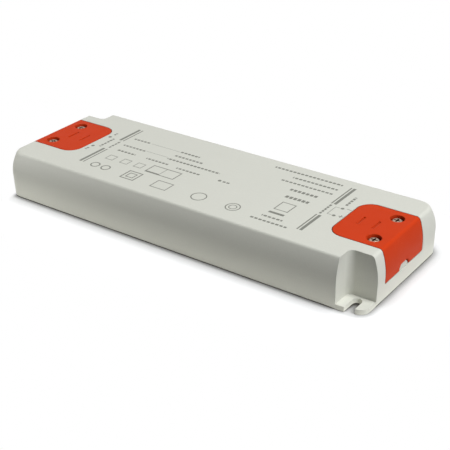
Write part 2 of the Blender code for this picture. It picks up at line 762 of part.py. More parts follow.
def housing():
    """One moulding: bowed walls, corner notches with ears, cover windows and cable cradles."""
    shell = bowed_block("housing", 0.0, 0.0, CASE_HEIGHT, skin=True)
    cut(shell, case_slab("rim_space", RIM_WALL, -REACH, RIM_HEIGHT))
    cut(shell, case_slab("cavity", WALL, BASE_THICKNESS, CEILING))
    cut(shell, notch_blocks("corner_notches", 0.0, -REACH, CASE_HEIGHT + REACH))
    fuse(shell, ear_plates(), hold_down_ribs())
    for end in ends.values():
        ring, shelf, saddle = ledge_ring(), cradle(), cable_saddle()
        recess, window, channel = cover_recess(), cover_block("window", -LEDGE_WIDTH), inlet_channel()
        hang(end, ring, shelf, saddle, recess, window, channel)
        fuse(shell, ring, shelf)
        cut(shell, recess, window, channel)
        fuse(shell, saddle)
    piece(shell, "case_plastic")


# Wire covers and their screws

def screw_places():
    return [(SCREW_X, side * SCREW_Y) for side in (-1, 1)]


def grip_marks():
    """Two short grooves across the top of a cover."""
    marks = []
    for setback in GRIP_SETBACKS:
        x = HALF_LENGTH - setback
        marks.append(((x - GRIP_WIDTH / 2, -GRIP_LENGTH / 2, CASE_HEIGHT - GRIP_DEPTH),
                      (x + GRIP_WIDTH / 2, GRIP_LENGTH / 2, CASE_HEIGHT + REACH)))
    return blocks("grip_marks", marks)


def clamp_bar():
    """Bar between the two bosses of a cover that presses the cable on its cradle."""
    half_x = CLAMP_BAR_THICKNESS / 2
    half_y = SCREW_Y - HEAD_HOLE_RADIUS - BOSS_WALL / 2
    return box("clamp_bar", (SCREW_X - half_x, -half_y, COVER_FOOT + SEAM),
               (SCREW_X + half_x, half_y, CASE_HEIGHT - COVER_THICKNESS / 2))


def terminal_cover(side):
    """A shell cut from the same bowed body as the case, so that the two lie flush."""
    cover = bowed_block(side + "_terminal_cover", 0.0, 0.0, CASE_HEIGHT, skin=True)
    under = CASE_HEIGHT - COVER_THICKNESS
    trim_to(cover, cover_block("cover_outline", 0.0))
    cut(cover, bowed_block("cover_inside", COVER_THICKNESS, -REACH, under))
    fuse(cover, rods("bosses", screw_places(), HEAD_HOLE_RADIUS + BOSS_WALL, BOSS_FOOT,
                     CASE_HEIGHT - COVER_THICKNESS / 2), clamp_bar())
    cut(cover, rods("head_holes", screw_places(), HEAD_HOLE_RADIUS, SCREW_SEAT, CASE_HEIGHT + REACH),
        rods("shank_holes", screw_places(), SCREW_SHANK_RADIUS + SHANK_GAP, BOSS_FOOT - REACH,
             SCREW_SEAT + BITE, SMALL_STEPS), grip_marks(), inlet_channel())
    hang(ends[side], cover)
    piece(cover, "cover_plastic")


def screw(name, head_radius, head_height, shank_radius, length, tip):
    """Pan head over a plain shank, with its seat at the object's origin."""
    dome = [(head_radius * across / WHOLE, head_height * up / WHOLE) for across, up in HEAD_PROFILE]
    profile = [(0.0, head_height), *dome, (head_radius, 0.0), (shank_radius, 0.0),
               (shank_radius, tip - length), (shank_radius * SCREW_POINT / WHOLE, -length), (0.0, -length)]
    return lathe(name, profile, SMALL_STEPS)


def cross_recess(head_height):
    """The two crossing slots of a driver recess."""
    arm, half = RECESS_SPAN / 2, RECESS_SLOT / 2
    low, high = head_height - RECESS_DEPTH, head_height + REACH
    return (box("recess_along", (-arm, -half, low), (arm, half, high)),
            box("recess_across", (-half, -arm, low), (half, arm, high)))


def cover_screws(side):
    for row, (x, y) in zip(("front", "back"), screw_places()):
        name = side + "_cover_screw_" + row
        body = screw(name, SCREW_HEAD_RADIUS, SCREW_HEAD_HEIGHT, SCREW_SHANK_RADIUS, SCREW_LENGTH,
                     SCREW_TIP)
        cut(body, *cross_recess(SCREW_HEAD_HEIGHT))
        body.location = (x, y, SCREW_SEAT + SEAT_GAP)
        hang(ends[side], body)
        piece(body, "zinc_steel")


# Base plate and circuit board

def base_plate():
    """Plate that drops into the case's rim, with posts for the cover screws and the board."""
    plate = case_slab("base_plate", RIM_WALL + SEAT_GAP, 0.0, BASE_THICKNESS)
    foot = BASE_THICKNESS - BITE
    pilot_foot = SCREW_SEAT + SEAT_GAP - SCREW_LENGTH - PILOT_SPARE
    posts = both_ends("posts", rods("post", screw_places(), POST_RADIUS, foot, BOSS_FOOT - SEAT_GAP))
    pilots = both_ends("pilots", rods("pilot", screw_places(), SCREW_SHANK_RADIUS + SHANK_GAP,
                                      pilot_foot, BOSS_FOOT + REACH, SMALL_STEPS))
    fuse(plate, posts, rods("standoffs", board_stations(), STANDOFF_RADIUS, foot,
                            BOARD_FLOOR - SEAT_GAP, SMALL_STEPS))
    cut(plate, pilots)
    piece(plate, "case_plastic")


def circuit_board():
    """Made last, because every lead of the components has its own hole."""
    board = prism("circuit_board", rectangle(BOARD_HALF_LENGTH, BOARD_HALF_WIDTH, BOARD_CORNER),
                  BOARD_FLOOR, BOARD_TOP)
    cut(board, lead_holes(board_holes, BOARD_FLOOR - REACH, BOARD_TOP + REACH))
    piece(board, "board_laminate")


def spot(place):
    return place[0] * BOARD_HALF_LENGTH / WHOLE, place[1] * BOARD_HALF_WIDTH / WHOLE


def lead_holes(sites, low, high):
    """Square holes with air all round the leads."""
    half = LEAD_SIDE / 2 + LEAD_GAP
    return blocks("lead_holes", [((x - half, y - half, low), (x + half, y + half, high))
                                 for x, y in sites])


def leads(sites, top):
    """Square pins from inside a component down through the board."""
    half = LEAD_SIDE / 2
    board_holes.extend(sites)
    return blocks("leads", [((x - half, y - half, LEAD_FOOT), (x + half, y + half, top))
                            for x, y in sites])


def bent_leads(start, knee, level, offsets, axis):
    """Leads that leave a body sideways at a level and turn down through the board at the knee."""
    half = LEAD_SIDE / 2
    side = math.copysign(half, knee - start)
    outline = [(start, level - half), (knee - side, level - half), (knee - side, LEAD_FOOT),
               (knee + side, LEAD_FOOT), (knee + side, level + half), (start, level + half)]
    board_holes.extend((knee, offset) if axis == "Y" else (offset, knee) for offset in offsets)
    return merged("bent_leads", [prism("lead", outline, offset - half, offset + half, axis)
                                 for offset in offsets])


# Terminal blocks

def pole_places():
    return [side * TERMINAL_PITCH / 2 for side in (-1, 1)]


def terminal_block(side):
    """Two-pole block under the cover, its wire pockets open to the cable inlet."""
    sign = 1 if side == "output" else -1
    front = TERMINAL_X + TERMINAL_LENGTH / 2
    back = TERMINAL_X - TERMINAL_LENGTH / 2
    top = DECK + TERMINAL_HEIGHT
    half_y = TERMINAL_PITCH + TERMINAL_CHEEK
    outline = [(back, DECK), (front, DECK), (front, top - TERMINAL_CHAMFER),
               (front - TERMINAL_CHAMFER, top), (back, top)]
    block = prism(side + "_terminal_block", outline, -half_y, half_y, "Y")
    pocket_back = front - POCKET_DEPTH
    floor = DECK + POCKET_FLOOR
    roof = floor + POCKET_HEIGHT
    cage_back = pocket_back + SEAT_GAP
    cage_x = cage_back + CAGE_LENGTH / 2
    cut(block, blocks("wire_pockets", [((pocket_back, y - POCKET_WIDTH / 2, floor),
                                        (front + REACH, y + POCKET_WIDTH / 2, roof))
                                       for y in pole_places()]))
    wells = [(cage_x, y) for y in pole_places()]
    cut(block, rods("screw_wells", wells, CLAMP_HEAD_RADIUS + SEAT_GAP, roof - BITE, top + REACH,
                    SMALL_STEPS),
        lead_holes(wells, DECK - REACH, floor + BITE))
    hang(ends[side], block)
    piece(block, "terminal_plastic")
    for row, y in zip(("front", "back"), pole_places()):
        clamp_cage(side, row, cage_back, y, floor + SEAT_GAP, roof - SEAT_GAP)
        clamp_screw(side, row, cage_x, y, roof, floor)
        board_holes.append((sign * cage_x, sign * y))


def clamp_cage(side, row, back, y, low, high):
    """Wire cage: a rectangular tube with a solder pin below and a threaded hole above."""
    half_y = POCKET_WIDTH / 2 - SEAT_GAP
    x = back + CAGE_LENGTH / 2
    half_lead = LEAD_SIDE / 2
    cage = box(side + "_clamp_" + row, (back, y - half_y, low), (back + CAGE_LENGTH, y + half_y, high))
    cut(cage, box("cage_bore", (back - REACH, y - half_y + CAGE_WALL, low + CAGE_WALL),
                  (back + CAGE_LENGTH + REACH, y + half_y - CAGE_WALL, high - CAGE_WALL)),
        rods("cage_thread", [(x, y)], CLAMP_SCREW_RADIUS + SHANK_GAP, high - CAGE_WALL - BITE,
             high + REACH, SMALL_STEPS))
    fuse(cage, box("cage_pin", (x - half_lead, y - half_lead, LEAD_FOOT),
                   (x + half_lead, y + half_lead, low + CAGE_WALL / 2)))
    hang(ends[side], cage)
    piece(cage, "brass")


def clamp_screw(side, row, x, y, seat, floor):
    body = screw(side + "_clamp_screw_" + row, CLAMP_HEAD_RADIUS, CLAMP_HEAD_HEIGHT,
                 CLAMP_SCREW_RADIUS, (seat - floor) / 2, CLAMP_SCREW_RADIUS / 2)
    cut(body, box("driver_slot", (-REACH, -CLAMP_SLOT_WIDTH / 2, CLAMP_HEAD_HEIGHT - CLAMP_SLOT_DEPTH),
                  (REACH, CLAMP_SLOT_WIDTH / 2, CLAMP_HEAD_HEIGHT + REACH)))
    body.location = (x, y, seat)
    hang(ends[side], body)
    piece(body, "zinc_steel")


# Components of the mains side

def can(radius, height, sleeve=True):
    """Turned profile of a can about its middle, with the crimp groove of a capacitor near its foot."""
    half = height / 2
    soft = radius * CAN_EDGE / WHOLE
    above, middle, below = (radius * level / WHOLE - half for level in CRIMP_LEVELS)
    groove = [(radius, above), (radius - soft, middle), (radius, below)]
    return ([(0.0, half), (radius - soft, half), (radius, half - soft)] + (groove if sleeve else [])
            + [(radius, soft / 2 - half), (radius - soft / 2, -half), (0.0, -half)])


def standing_can(name, place, radius, height, pitch, finish_name, sleeve):
    x, y = spot(place)
    body = lathe(name, can(radius, height, sleeve))
    body.location = (x, y, DECK + height / 2)
    fuse(body, leads([(x - pitch / 2, y), (x + pitch / 2, y)], DECK + BITE))
    piece(body, finish_name)


def lying_can(name, place, radius, length, pitch, axis):
    """Capacitor on its side: along X its leads leave at -X, along Y at -Y."""
    x, y = spot(place)
    level = DECK + radius
    body = lathe(name, can(radius, length), ROUND_STEPS)
    body.location = (x, y, level)
    body.rotation_euler = (0.0, math.pi / 2, 0.0) if axis == "X" else (-math.pi / 2, 0.0, 0.0)
    along, across = (x, y) if axis == "X" else (y, x)
    end = along - length / 2
    fuse(body, bent_leads(end + BITE, end - LEAD_BEND, level,
                          [across - pitch / 2, across + pitch / 2], "Y" if axis == "X" else "X"))
    piece(body, "black_sleeve")


def disc(name, place, radius, thickness, pitch, axis, finish_name):
    """Dipped disc on edge, its flat sides facing along the axis."""
    x, y = spot(place)
    half, rim = thickness / 2, radius - DISC_EDGE
    body = lathe(name, [(0.0, half), (rim, half), (radius, half - DISC_EDGE), (radius, DISC_EDGE - half),
                        (rim, -half), (0.0, -half)], ROUND_STEPS)
    body.location = (x, y, DECK + DISC_LIFT + radius)
    body.rotation_euler = (0.0, math.pi / 2, 0.0) if axis == "X" else (math.pi / 2, 0.0, 0.0)
    step = Vector((0.0, pitch / 2)) if axis == "X" else Vector((pitch / 2, 0.0))
    sites = [tuple(Vector((x, y)) - step), tuple(Vector((x, y)) + step)]
    fuse(body, leads(sites, DECK + DISC_LIFT + radius - LEAD_SIDE))
    piece(body, finish_name)


def film_capacitor():
    x, y = spot(FILM_PLACE)
    body = box("interference_capacitor", (x - FILM_LENGTH / 2, y - FILM_WIDTH / 2, DECK),
               (x + FILM_LENGTH / 2, y + FILM_WIDTH / 2, DECK + FILM_HEIGHT), FILM_EDGE)
    fuse(body, leads([(x - FILM_PITCH / 2, y), (x + FILM_PITCH / 2, y)], DECK + BITE))
    piece(body, "yellow_plastic")


def ring_profile(inner, outer, low, high):
    return [(inner, high), (outer, high), (outer, low), (inner, low)]


def mains_choke():
    """Flat ferrite ring with two windings, each a sleeve of wire over a third of the ring."""
    x, y = spot(CHOKE_PLACE)
    level = DECK + CHOKE_COPPER + SEAT_GAP + CHOKE_CORE_HEIGHT / 2
    half = CHOKE_CORE_HEIGHT / 2
    core = lathe("mains_choke_core", ring_profile(CHOKE_CORE_INNER, CHOKE_CORE_OUTER, -half, half),
                 ROUND_STEPS, ring=True)
    core.location = (x, y, level)
    piece(core, "ferrite")
    for name, heading in (("front", -math.pi / 2), ("back", math.pi / 2)):
        choke_winding("mains_choke_winding_" + name, (x, y), level, half, heading)


def choke_winding(name, centre, level, half, heading):
    x, y = centre
    inner, outer = CHOKE_CORE_INNER - SEAT_GAP, CHOKE_CORE_OUTER + SEAT_GAP
    room = half + SEAT_GAP
    wrap = room + CHOKE_COPPER
    sleeve = lathe(name, ring_profile(inner - CHOKE_COPPER, outer + CHOKE_COPPER, -wrap, wrap),
                   ROUND_STEPS, ring=True)
    hollow = lathe("ring_room", ring_profile(inner, outer, -room, room), ROUND_STEPS, ring=True)
    far = CHOKE_CORE_OUTER + REACH
    arms = [heading - CHOKE_SWEEP / 2, heading, heading + CHOKE_SWEEP / 2]
    sector = prism("sector", [(0.0, 0.0)] + [(far * math.cos(arm), far * math.sin(arm)) for arm in arms],
                   -far, far)
    cut(sleeve, hollow)
    trim_to(sleeve, sector)
    sleeve.location = (x, y, level)
    middle = (CHOKE_CORE_INNER + CHOKE_CORE_OUTER) / 2
    lean = CHOKE_SWEEP * CHOKE_LEAD_SPAN / WHOLE / 2
    sites = [(x + middle * math.cos(heading + turn), y + middle * math.sin(heading + turn))
             for turn in (-lean, lean)]
    fuse(sleeve, leads(sites, DECK + CHOKE_COPPER / 2))
    piece(sleeve, "copper_wire")


# Chips and power parts

def dual_in_line(name, place, length, width, height, count, pitch, finish_name):
    """Moulded body that stands on two rows of bent legs."""
    x, y = spot(place)
    low = DECK + CHIP_LIFT
    body = box(name, (x - length / 2, y - width / 2, low), (x + length / 2, y + width / 2, low + height),
               CHIP_EDGE)
    first = x - pitch * (count - 1) / 2
    columns = [first + pitch * index for index in range(count)]
    for side in (-1, 1):
        edge = y + side * width / 2
        fuse(body, bent_leads(edge - side * BITE, edge + side * CHIP_LEG_REACH, low + height / 2,
                              columns, "X"))
    piece(body, finish_name)


def power_stage(side, device_name, place):
    """Channel heatsink with a moulded power part screwed down in it; its leads leave endwards."""
    x, y = spot(place)
    way = 1 if side == "output" else -1
    half_y = SINK_WIDTH / 2
    inner_y = half_y - SINK_WALL
    channel = [(y - half_y, DECK), (y + half_y, DECK), (y + half_y, DECK + SINK_HEIGHT),
               (y + inner_y, DECK + SINK_HEIGHT), (y + inner_y, DECK + SINK_WALL),
               (y - inner_y, DECK + SINK_WALL), (y - inner_y, DECK + SINK_HEIGHT),
               (y - half_y, DECK + SINK_HEIGHT)]
    sink = prism(side + "_heatsink", channel, x - SINK_LENGTH / 2, x + SINK_LENGTH / 2, "X")
    end = x + way * (SINK_LENGTH / 2 - BITE)
    hole_x = end - way * (TAB_LENGTH - TAB_HOLE_SETBACK)
    pins = [(x - SINK_LENGTH / 2 + SINK_PIN_SETBACK, y), (x + SINK_LENGTH / 2 - SINK_PIN_SETBACK, y)]
    fuse(sink, leads(pins, DECK + SINK_WALL / 2))
    cut(sink, rods("sink_thread", [(hole_x, y)], SINK_SCREW_RADIUS + SHANK_GAP, DECK - REACH,
                   DECK + SINK_WALL + BITE, SMALL_STEPS))
    piece(sink, "aluminium")
    low = DECK + SINK_WALL + SEAT_GAP
    power_device(device_name, end, way, y, low, hole_x)
    seat = low + TAB_THICKNESS + SEAT_GAP
    body = screw(side + "_heatsink_screw", SINK_SCREW_HEAD_RADIUS, SINK_SCREW_HEAD_HEIGHT,
                 SINK_SCREW_RADIUS, seat - DECK - SEAT_GAP, SINK_SCREW_RADIUS / 2)
    cut(body, *cross_recess(SINK_SCREW_HEAD_HEIGHT))
    body.location = (hole_x, y, seat)
    piece(body, "zinc_steel")


def power_device(name, end, way, y, low, hole_x):
    """Moulded power part lying flat: thick at its leads, thinner at its mounting tab."""
    tab_end = end - way * TAB_LENGTH
    step = tab_end + way * TAB_STEP
    profile = [(tab_end, low), (end, low), (end, low + PACK_THICKNESS), (step, low + PACK_THICKNESS),
               (step, low + TAB_THICKNESS), (tab_end, low + TAB_THICKNESS)]
    body = prism(name, profile, y - TAB_WIDTH / 2, y + TAB_WIDTH / 2, "Y")
    fuse(body, bent_leads(end - way * BITE, end + way * PACK_LEAD_REACH, low + PACK_THICKNESS / 2,
                          [y + row * PACK_LEAD_PITCH for row in (-1, 0, 1)], "Y"))
    cut(body, rods("tab_hole", [(hole_x, y)], TAB_HOLE_RADIUS, low - BITE, low + TAB_THICKNESS + REACH,
                   SMALL_STEPS))
    piece(body, "dark_epoxy")


def snubber_resistor():
    x, y = spot(RESISTOR_PLACE)
    half, waist = RESISTOR_LENGTH / 2, RESISTOR_RADIUS * RESISTOR_WAIST / WHOLE
    cap, soft = RESISTOR_LENGTH * RESISTOR_CAP / WHOLE, RESISTOR_RADIUS * RESISTOR_EDGE / WHOLE
    body = lathe("snubber_resistor", [(0.0, half), (waist, half), (RESISTOR_RADIUS, half - soft),
                                      (RESISTOR_RADIUS, half - cap), (waist, half - cap - soft),
                                      (waist, cap + soft - half), (RESISTOR_RADIUS, cap - half),
                                      (RESISTOR_RADIUS, soft - half), (waist, -half), (0.0, -half)],
                 SMALL_STEPS)
    level = DECK + RESISTOR_RADIUS
    body.location = (x, y, level)
    body.rotation_euler = (-math.pi / 2, 0.0, 0.0)
    for side in (-1, 1):
        fuse(body, bent_leads(y + side * (half - BITE), y + side * RESISTOR_LEAD_SPACING / 2, level,
                              [x], "X"))
    piece(body, "resistor_coat")


# Transformer

def transformer():
    """Two E cores that meet inside a bobbin; the bobbin carries the winding and the pins."""
    x, y = spot(TRANSFORMER_PLACE)
    level = DECK + TALL / 2
    window = CORE_LENGTH / 2 - CORE_BACK
    slot_y = CORE_WIDTH / 2 - CORE_SIDE_LEG
    for name, way in (("mains", -1), ("lamp", 1)):
        core_half("transformer_core_" + name, (x, y), level, way, window, slot_y)
    bobbin(x, y, level, window, slot_y)


def core_half(name, centre, level, way, window, slot_y):
    x, y = centre
    meet, back = SEAT_GAP / 2, CORE_LENGTH / 2
    half, leg = CORE_WIDTH / 2, CORE_CENTRE_LEG / 2
    letter = [(meet, -half), (back, -half), (back, half), (meet, half), (meet, slot_y),
              (window, slot_y), (window, leg), (meet, leg), (meet, -leg), (window, -leg),
              (window, -slot_y), (meet, -slot_y)]
    outline = [(x + way * u, y + v) for u, v in letter]
    piece(prism(name, outline, level - CORE_HEIGHT / 2, level + CORE_HEIGHT / 2), "ferrite")


def bobbin(x, y, level, window, slot_y):
    """Square tube with a flange at each end and a rail of pins under each core back."""
    bore_y = CORE_CENTRE_LEG / 2 + SEAT_GAP
    bore_z = CORE_HEIGHT / 2 + SEAT_GAP
    tube_y, tube_z = bore_y + BOBBIN_WALL, bore_z + BOBBIN_WALL
    flange_out = window - SEAT_GAP
    flange_in = flange_out - BOBBIN_WALL
    flange_y = slot_y - SEAT_GAP
    rail_out = CORE_LENGTH / 2
    rail_top = level - CORE_HEIGHT / 2 - SEAT_GAP
    body = box("transformer_bobbin", (x - flange_in - BITE, y - tube_y, level - tube_z),
               (x + flange_in + BITE, y + tube_y, level + tube_z))
    for way in (-1, 1):
        flange = sorted((x + way * flange_in, x + way * flange_out))
        rail = sorted((x + way * (flange_in + BITE), x + way * rail_out))
        fuse(body, box("flange", (flange[0], y - flange_y, DECK), (flange[1], y + flange_y, DECK + TALL)),
             box("rail", (rail[0], y - flange_y + BITE, DECK + BITE / 2),
                 (rail[1], y + flange_y - BITE, rail_top)))
        pin_x = x + way * (rail_out + flange_out) / 2
        rows = [y + BOBBIN_PITCH * (index - (BOBBIN_PINS - 1) / 2) for index in range(BOBBIN_PINS)]
        fuse(body, leads([(pin_x, row) for row in rows], (DECK + rail_top) / 2))
    cut(body, box("core_bore", (x - rail_out - REACH, y - bore_y, level - bore_z),
                  (x + rail_out + REACH, y + bore_y, level + bore_z)))
    piece(body, "dark_epoxy")
    winding(x, y, level, flange_in - SEAT_GAP, (tube_y + SEAT_GAP, tube_z + SEAT_GAP), flange_y)


def winding(x, y, level, half_x, room, flange_y):
    """Taped winding: a thick sleeve round the tube, with rounded corners."""
    half_y = flange_y - WINDING_MARGIN
    half_z = TALL / 2 - WINDING_MARGIN
    body = prism("transformer_winding", rectangle(half_y, half_z, WINDING_CORNER, (y, level)),
                 x - half_x, x + half_x, "X")
    cut(body, box("tube_room", (x - half_x - REACH, y - room[0], level - room[1]),
                  (x + half_x + REACH, y + room[0], level + room[1])))
    piece(body, "winding_tape")


# Lamp side

def output_choke():
    """Ferrite drum with its winding between the two flanges."""
    x, y = spot(DRUM_PLACE)
    slot = DRUM_HEIGHT - DRUM_FLANGE
    drum = lathe("output_choke_core", [(0.0, DRUM_HEIGHT), (DRUM_RADIUS, DRUM_HEIGHT), (DRUM_RADIUS, slot),
                                       (DRUM_WAIST, slot), (DRUM_WAIST, DRUM_FLANGE),
                                       (DRUM_RADIUS, DRUM_FLANGE), (DRUM_RADIUS, 0.0), (0.0, 0.0)])
    drum.location = (x, y, DECK)
    fuse(drum, leads([(x - DRUM_PITCH / 2, y), (x + DRUM_PITCH / 2, y)], DECK + DRUM_FLANGE / 2))
    piece(drum, "ferrite")
    wire = lathe("output_choke_winding",
                 ring_profile(DRUM_WAIST + SEAT_GAP, DRUM_RADIUS - DRUM_WIRE_MARGIN,
                              DRUM_FLANGE + SEAT_GAP, slot - SEAT_GAP), ROUND_STEPS, ring=True)
    wire.location = (x, y, DECK)
    piece(wire, "copper_wire")


def voltage_reference():
    """Small three-leg part with one flat side."""
    x, y = spot(REFERENCE_PLACE)
    half_x, half_y = REFERENCE_WIDTH / 2, REFERENCE_DEPTH / 2
    back_round = half_x * REFERENCE_ROUND / WHOLE
    outline = rounded([(x - half_x, y - half_y, 0.0), (x + half_x, y - half_y, 0.0),
                       (x + half_x, y + half_y, back_round), (x - half_x, y + half_y, back_round)],
                      REFERENCE_STEPS)
    low = DECK + REFERENCE_LIFT
    body = prism("voltage_reference", outline, low, low + REFERENCE_HEIGHT)
    fuse(body, leads([(x + row * REFERENCE_PITCH, y) for row in (-1, 0, 1)], low + BITE))
    piece(body, "dark_epoxy")


# The whole driver

def build_ends():
    for side in ends:
        terminal_cover(side)
        cover_screws(side)
        terminal_block(side)


def build_mains_side():
    standing_can("fuse", FUSE_PLACE, FUSE_RADIUS, FUSE_HEIGHT, FUSE_PITCH, "brown_plastic", False)
    disc("inrush_thermistor", THERMISTOR_PLACE, THERMISTOR_RADIUS, THERMISTOR_THICKNESS, DISC_PITCH,
         "X", "green_epoxy")
    disc("varistor", VARISTOR_PLACE, VARISTOR_RADIUS, VARISTOR_THICKNESS, DISC_PITCH, "X", "blue_epoxy")
    film_capacitor()
    mains_choke()
    dual_in_line("bridge_rectifier", BRIDGE_PLACE, BRIDGE_LENGTH, BRIDGE_WIDTH, BRIDGE_HEIGHT, 2,
                 BRIDGE_PITCH, "dark_epoxy")
    lying_can("bulk_capacitor", BULK_PLACE, TALL / 2, BULK_LENGTH, BULK_PITCH, "X")


def build_power_stage():
    power_stage("primary", "primary_transistor", PRIMARY_SINK_PLACE)
    dual_in_line("control_chip", CHIP_PLACE, CHIP_LENGTH, CHIP_WIDTH, CHIP_HEIGHT, 4, CHIP_PITCH,
                 "dark_epoxy")
    standing_can("supply_capacitor", SUPPLY_PLACE, SUPPLY_RADIUS, SUPPLY_HEIGHT, SUPPLY_PITCH,
                 "black_sleeve", True)
    snubber_resistor()
    transformer()
    disc("safety_capacitor", SAFETY_PLACE, SAFETY_RADIUS, SAFETY_THICKNESS, SAFETY_PITCH, "Y",
         "ceramic_blue")
    dual_in_line("optocoupler", OPTO_PLACE, OPTO_LENGTH, CHIP_WIDTH, CHIP_HEIGHT, 2, CHIP_PITCH,
                 "dark_epoxy")


def build_lamp_side():
    power_stage("output", "output_diode", OUTPUT_SINK_PLACE)
    for index, place in enumerate(OUTPUT_PLACES, 1):
        lying_can(f"output_capacitor_{index}", place, OUTPUT_RADIUS, OUTPUT_LENGTH, OUTPUT_PITCH, "Y")
    output_choke()
    voltage_reference()


clear_scene()
parts = new_collection("led_driver")
cutters = new_collection("cutters")
ends = {}
for end_name, end_turn in (("output", 0.0), ("input", math.pi)):
    ends[end_name] = bpy.data.objects.new(end_name + "_end", None)
    parts.objects.link(ends[end_name])
    ends[end_name].rotation_euler.z = end_turn

housing()
base_plate()
build_ends()
build_mains_side()
build_power_stage()
build_lamp_side()
circuit_board()
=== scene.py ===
# %% [markdown]
# # Dressing a slim LED driver for the studio
#
# The driver is a pale plastic case, 18 cm long, with an orange cover over the wires at each end.
# Its shapes come finished from the CAD model, so this lesson is about everything that CAD lacks:
# soft edges, plastic that looks moulded, ink on the lid, zinc on the screws, and soft light.
# Lengths are in metres, as in the CAD model, and MM turns the millimetres of a drawing into them.
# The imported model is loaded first, and its box is kept, so that the end can show that nothing grew.

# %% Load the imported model
import math

import bpy
from mathutils import Matrix, Vector


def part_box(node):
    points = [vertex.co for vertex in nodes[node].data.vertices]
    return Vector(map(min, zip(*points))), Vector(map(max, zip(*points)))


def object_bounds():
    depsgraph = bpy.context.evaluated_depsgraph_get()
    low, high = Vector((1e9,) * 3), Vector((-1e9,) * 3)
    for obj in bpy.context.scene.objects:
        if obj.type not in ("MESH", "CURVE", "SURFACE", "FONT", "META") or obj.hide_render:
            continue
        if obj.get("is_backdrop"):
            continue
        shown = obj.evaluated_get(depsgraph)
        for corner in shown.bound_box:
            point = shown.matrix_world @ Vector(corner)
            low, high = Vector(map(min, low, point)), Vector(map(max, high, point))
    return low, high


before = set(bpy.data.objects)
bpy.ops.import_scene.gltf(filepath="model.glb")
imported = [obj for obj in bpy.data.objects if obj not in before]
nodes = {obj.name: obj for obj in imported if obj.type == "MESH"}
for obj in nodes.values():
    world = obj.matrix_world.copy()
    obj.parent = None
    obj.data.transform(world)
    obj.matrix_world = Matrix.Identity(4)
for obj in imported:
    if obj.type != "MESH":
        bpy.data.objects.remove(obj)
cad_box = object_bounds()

MM = 0.001
case_low, case_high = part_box("housing")
print("nodes:", len(nodes), "case in mm:", [round(side / MM, 1) for side in case_high - case_low])

# %% [markdown]
# ## The camera
#
# A product picture is taken with a long lens from some way off, so that the case hardly tapers.
# The camera could be aimed by eye, but here its place, aim and lens were worked out from the corners
# of the case, whose real sizes are known. It looks down at the output end, which points to +X.

# %% Set up the camera
CAMERA_PLACE = Vector((230.784, -302.676, 202.331)) * MM
CAMERA_AZIMUTH = math.radians(36.487)
CAMERA_ELEVATION = math.radians(28.312)
CAMERA_ROLL = math.radians(-1.176)
LENS = 81.292


def aim(azimuth, elevation, roll=0.0):
    """The turn of a camera or lamp that looks back at the object from that direction.

    Azimuth 0 is in front of the long side at -Y, and 90 degrees is past the output end at +X.
    """
    level = Matrix.Rotation(azimuth, 3, "Z") @ Matrix.Rotation(math.pi / 2 - elevation, 3, "X")
    return level @ Matrix.Rotation(roll, 3, "Z")


camera = bpy.data.objects.new("camera", bpy.data.cameras.new("camera"))
camera.data.lens = LENS
camera.matrix_world = (Matrix.Translation(CAMERA_PLACE)
                       @ aim(CAMERA_AZIMUTH, CAMERA_ELEVATION, CAMERA_ROLL).to_4x4())
bpy.context.scene.collection.objects.link(camera)
bpy.context.scene.camera = camera
bpy.context.scene.view_settings.view_transform = "Standard"
print("camera in mm:", [round(value / MM) for value in camera.location])

# %% [markdown]
# ## Shader maths in plain Python
#
# A finish is a network of nodes, and wiring each sum by hand hides what the sum means.
# A small class can stand for one output socket and answer to +, -, *, /, **, abs, < and >, so that
# a mask reads like a formula. Numbers alone never reach it: Python works those out first.
# Colours and vectors go through Mix and Vector Math nodes, because a Math node would turn them grey.

# %% Write node networks as expressions
def socket_of(sockets, key):
    """A socket by its number, or by the identifier that Blender gives it."""
    return sockets[key] if isinstance(key, int) else next(s for s in sockets if s.identifier == key)


class Wire:
    """One output socket. Arithmetic on it adds Math nodes to its network."""

    def __init__(self, net, socket):
        self.net, self.socket = net, socket

    def __add__(self, other):
        return self.net.maths("ADD", self, other)

    def __sub__(self, other):
        return self.net.maths("SUBTRACT", self, other)

    def __rsub__(self, other):
        return self.net.maths("SUBTRACT", other, self)

    def __mul__(self, other):
        return self.net.maths("MULTIPLY", self, other)

    def __truediv__(self, other):
        return self.net.maths("DIVIDE", self, other)

    def __pow__(self, other):
        return self.net.maths("POWER", self, other)

    def __lt__(self, other):
        return self.net.maths("LESS_THAN", self, other)

    def __gt__(self, other):
        return self.net.maths("GREATER_THAN", self, other)

    def __abs__(self):
        return self.net.maths("ABSOLUTE", self)

    __radd__, __rmul__ = __add__, __mul__

    def fraction(self):
        """What is left of the whole number below, so that a pattern repeats at each one."""
        return self.net.maths("FRACT", self)

    def between(self, low, high):
        """1 from low to high, and 0 outside."""
        return (self > low) * (self < high)

    def ramp(self, low, high, start=0.0, end=1.0):
        """Start at low, end at high, and an eased curve between them."""
        return self.net.node("ShaderNodeMapRange", {"interpolation_type": "SMOOTHSTEP"},
                             {"Value": self, "From Min": low, "From Max": high,
                              "To Min": start, "To Max": end})["Result"]


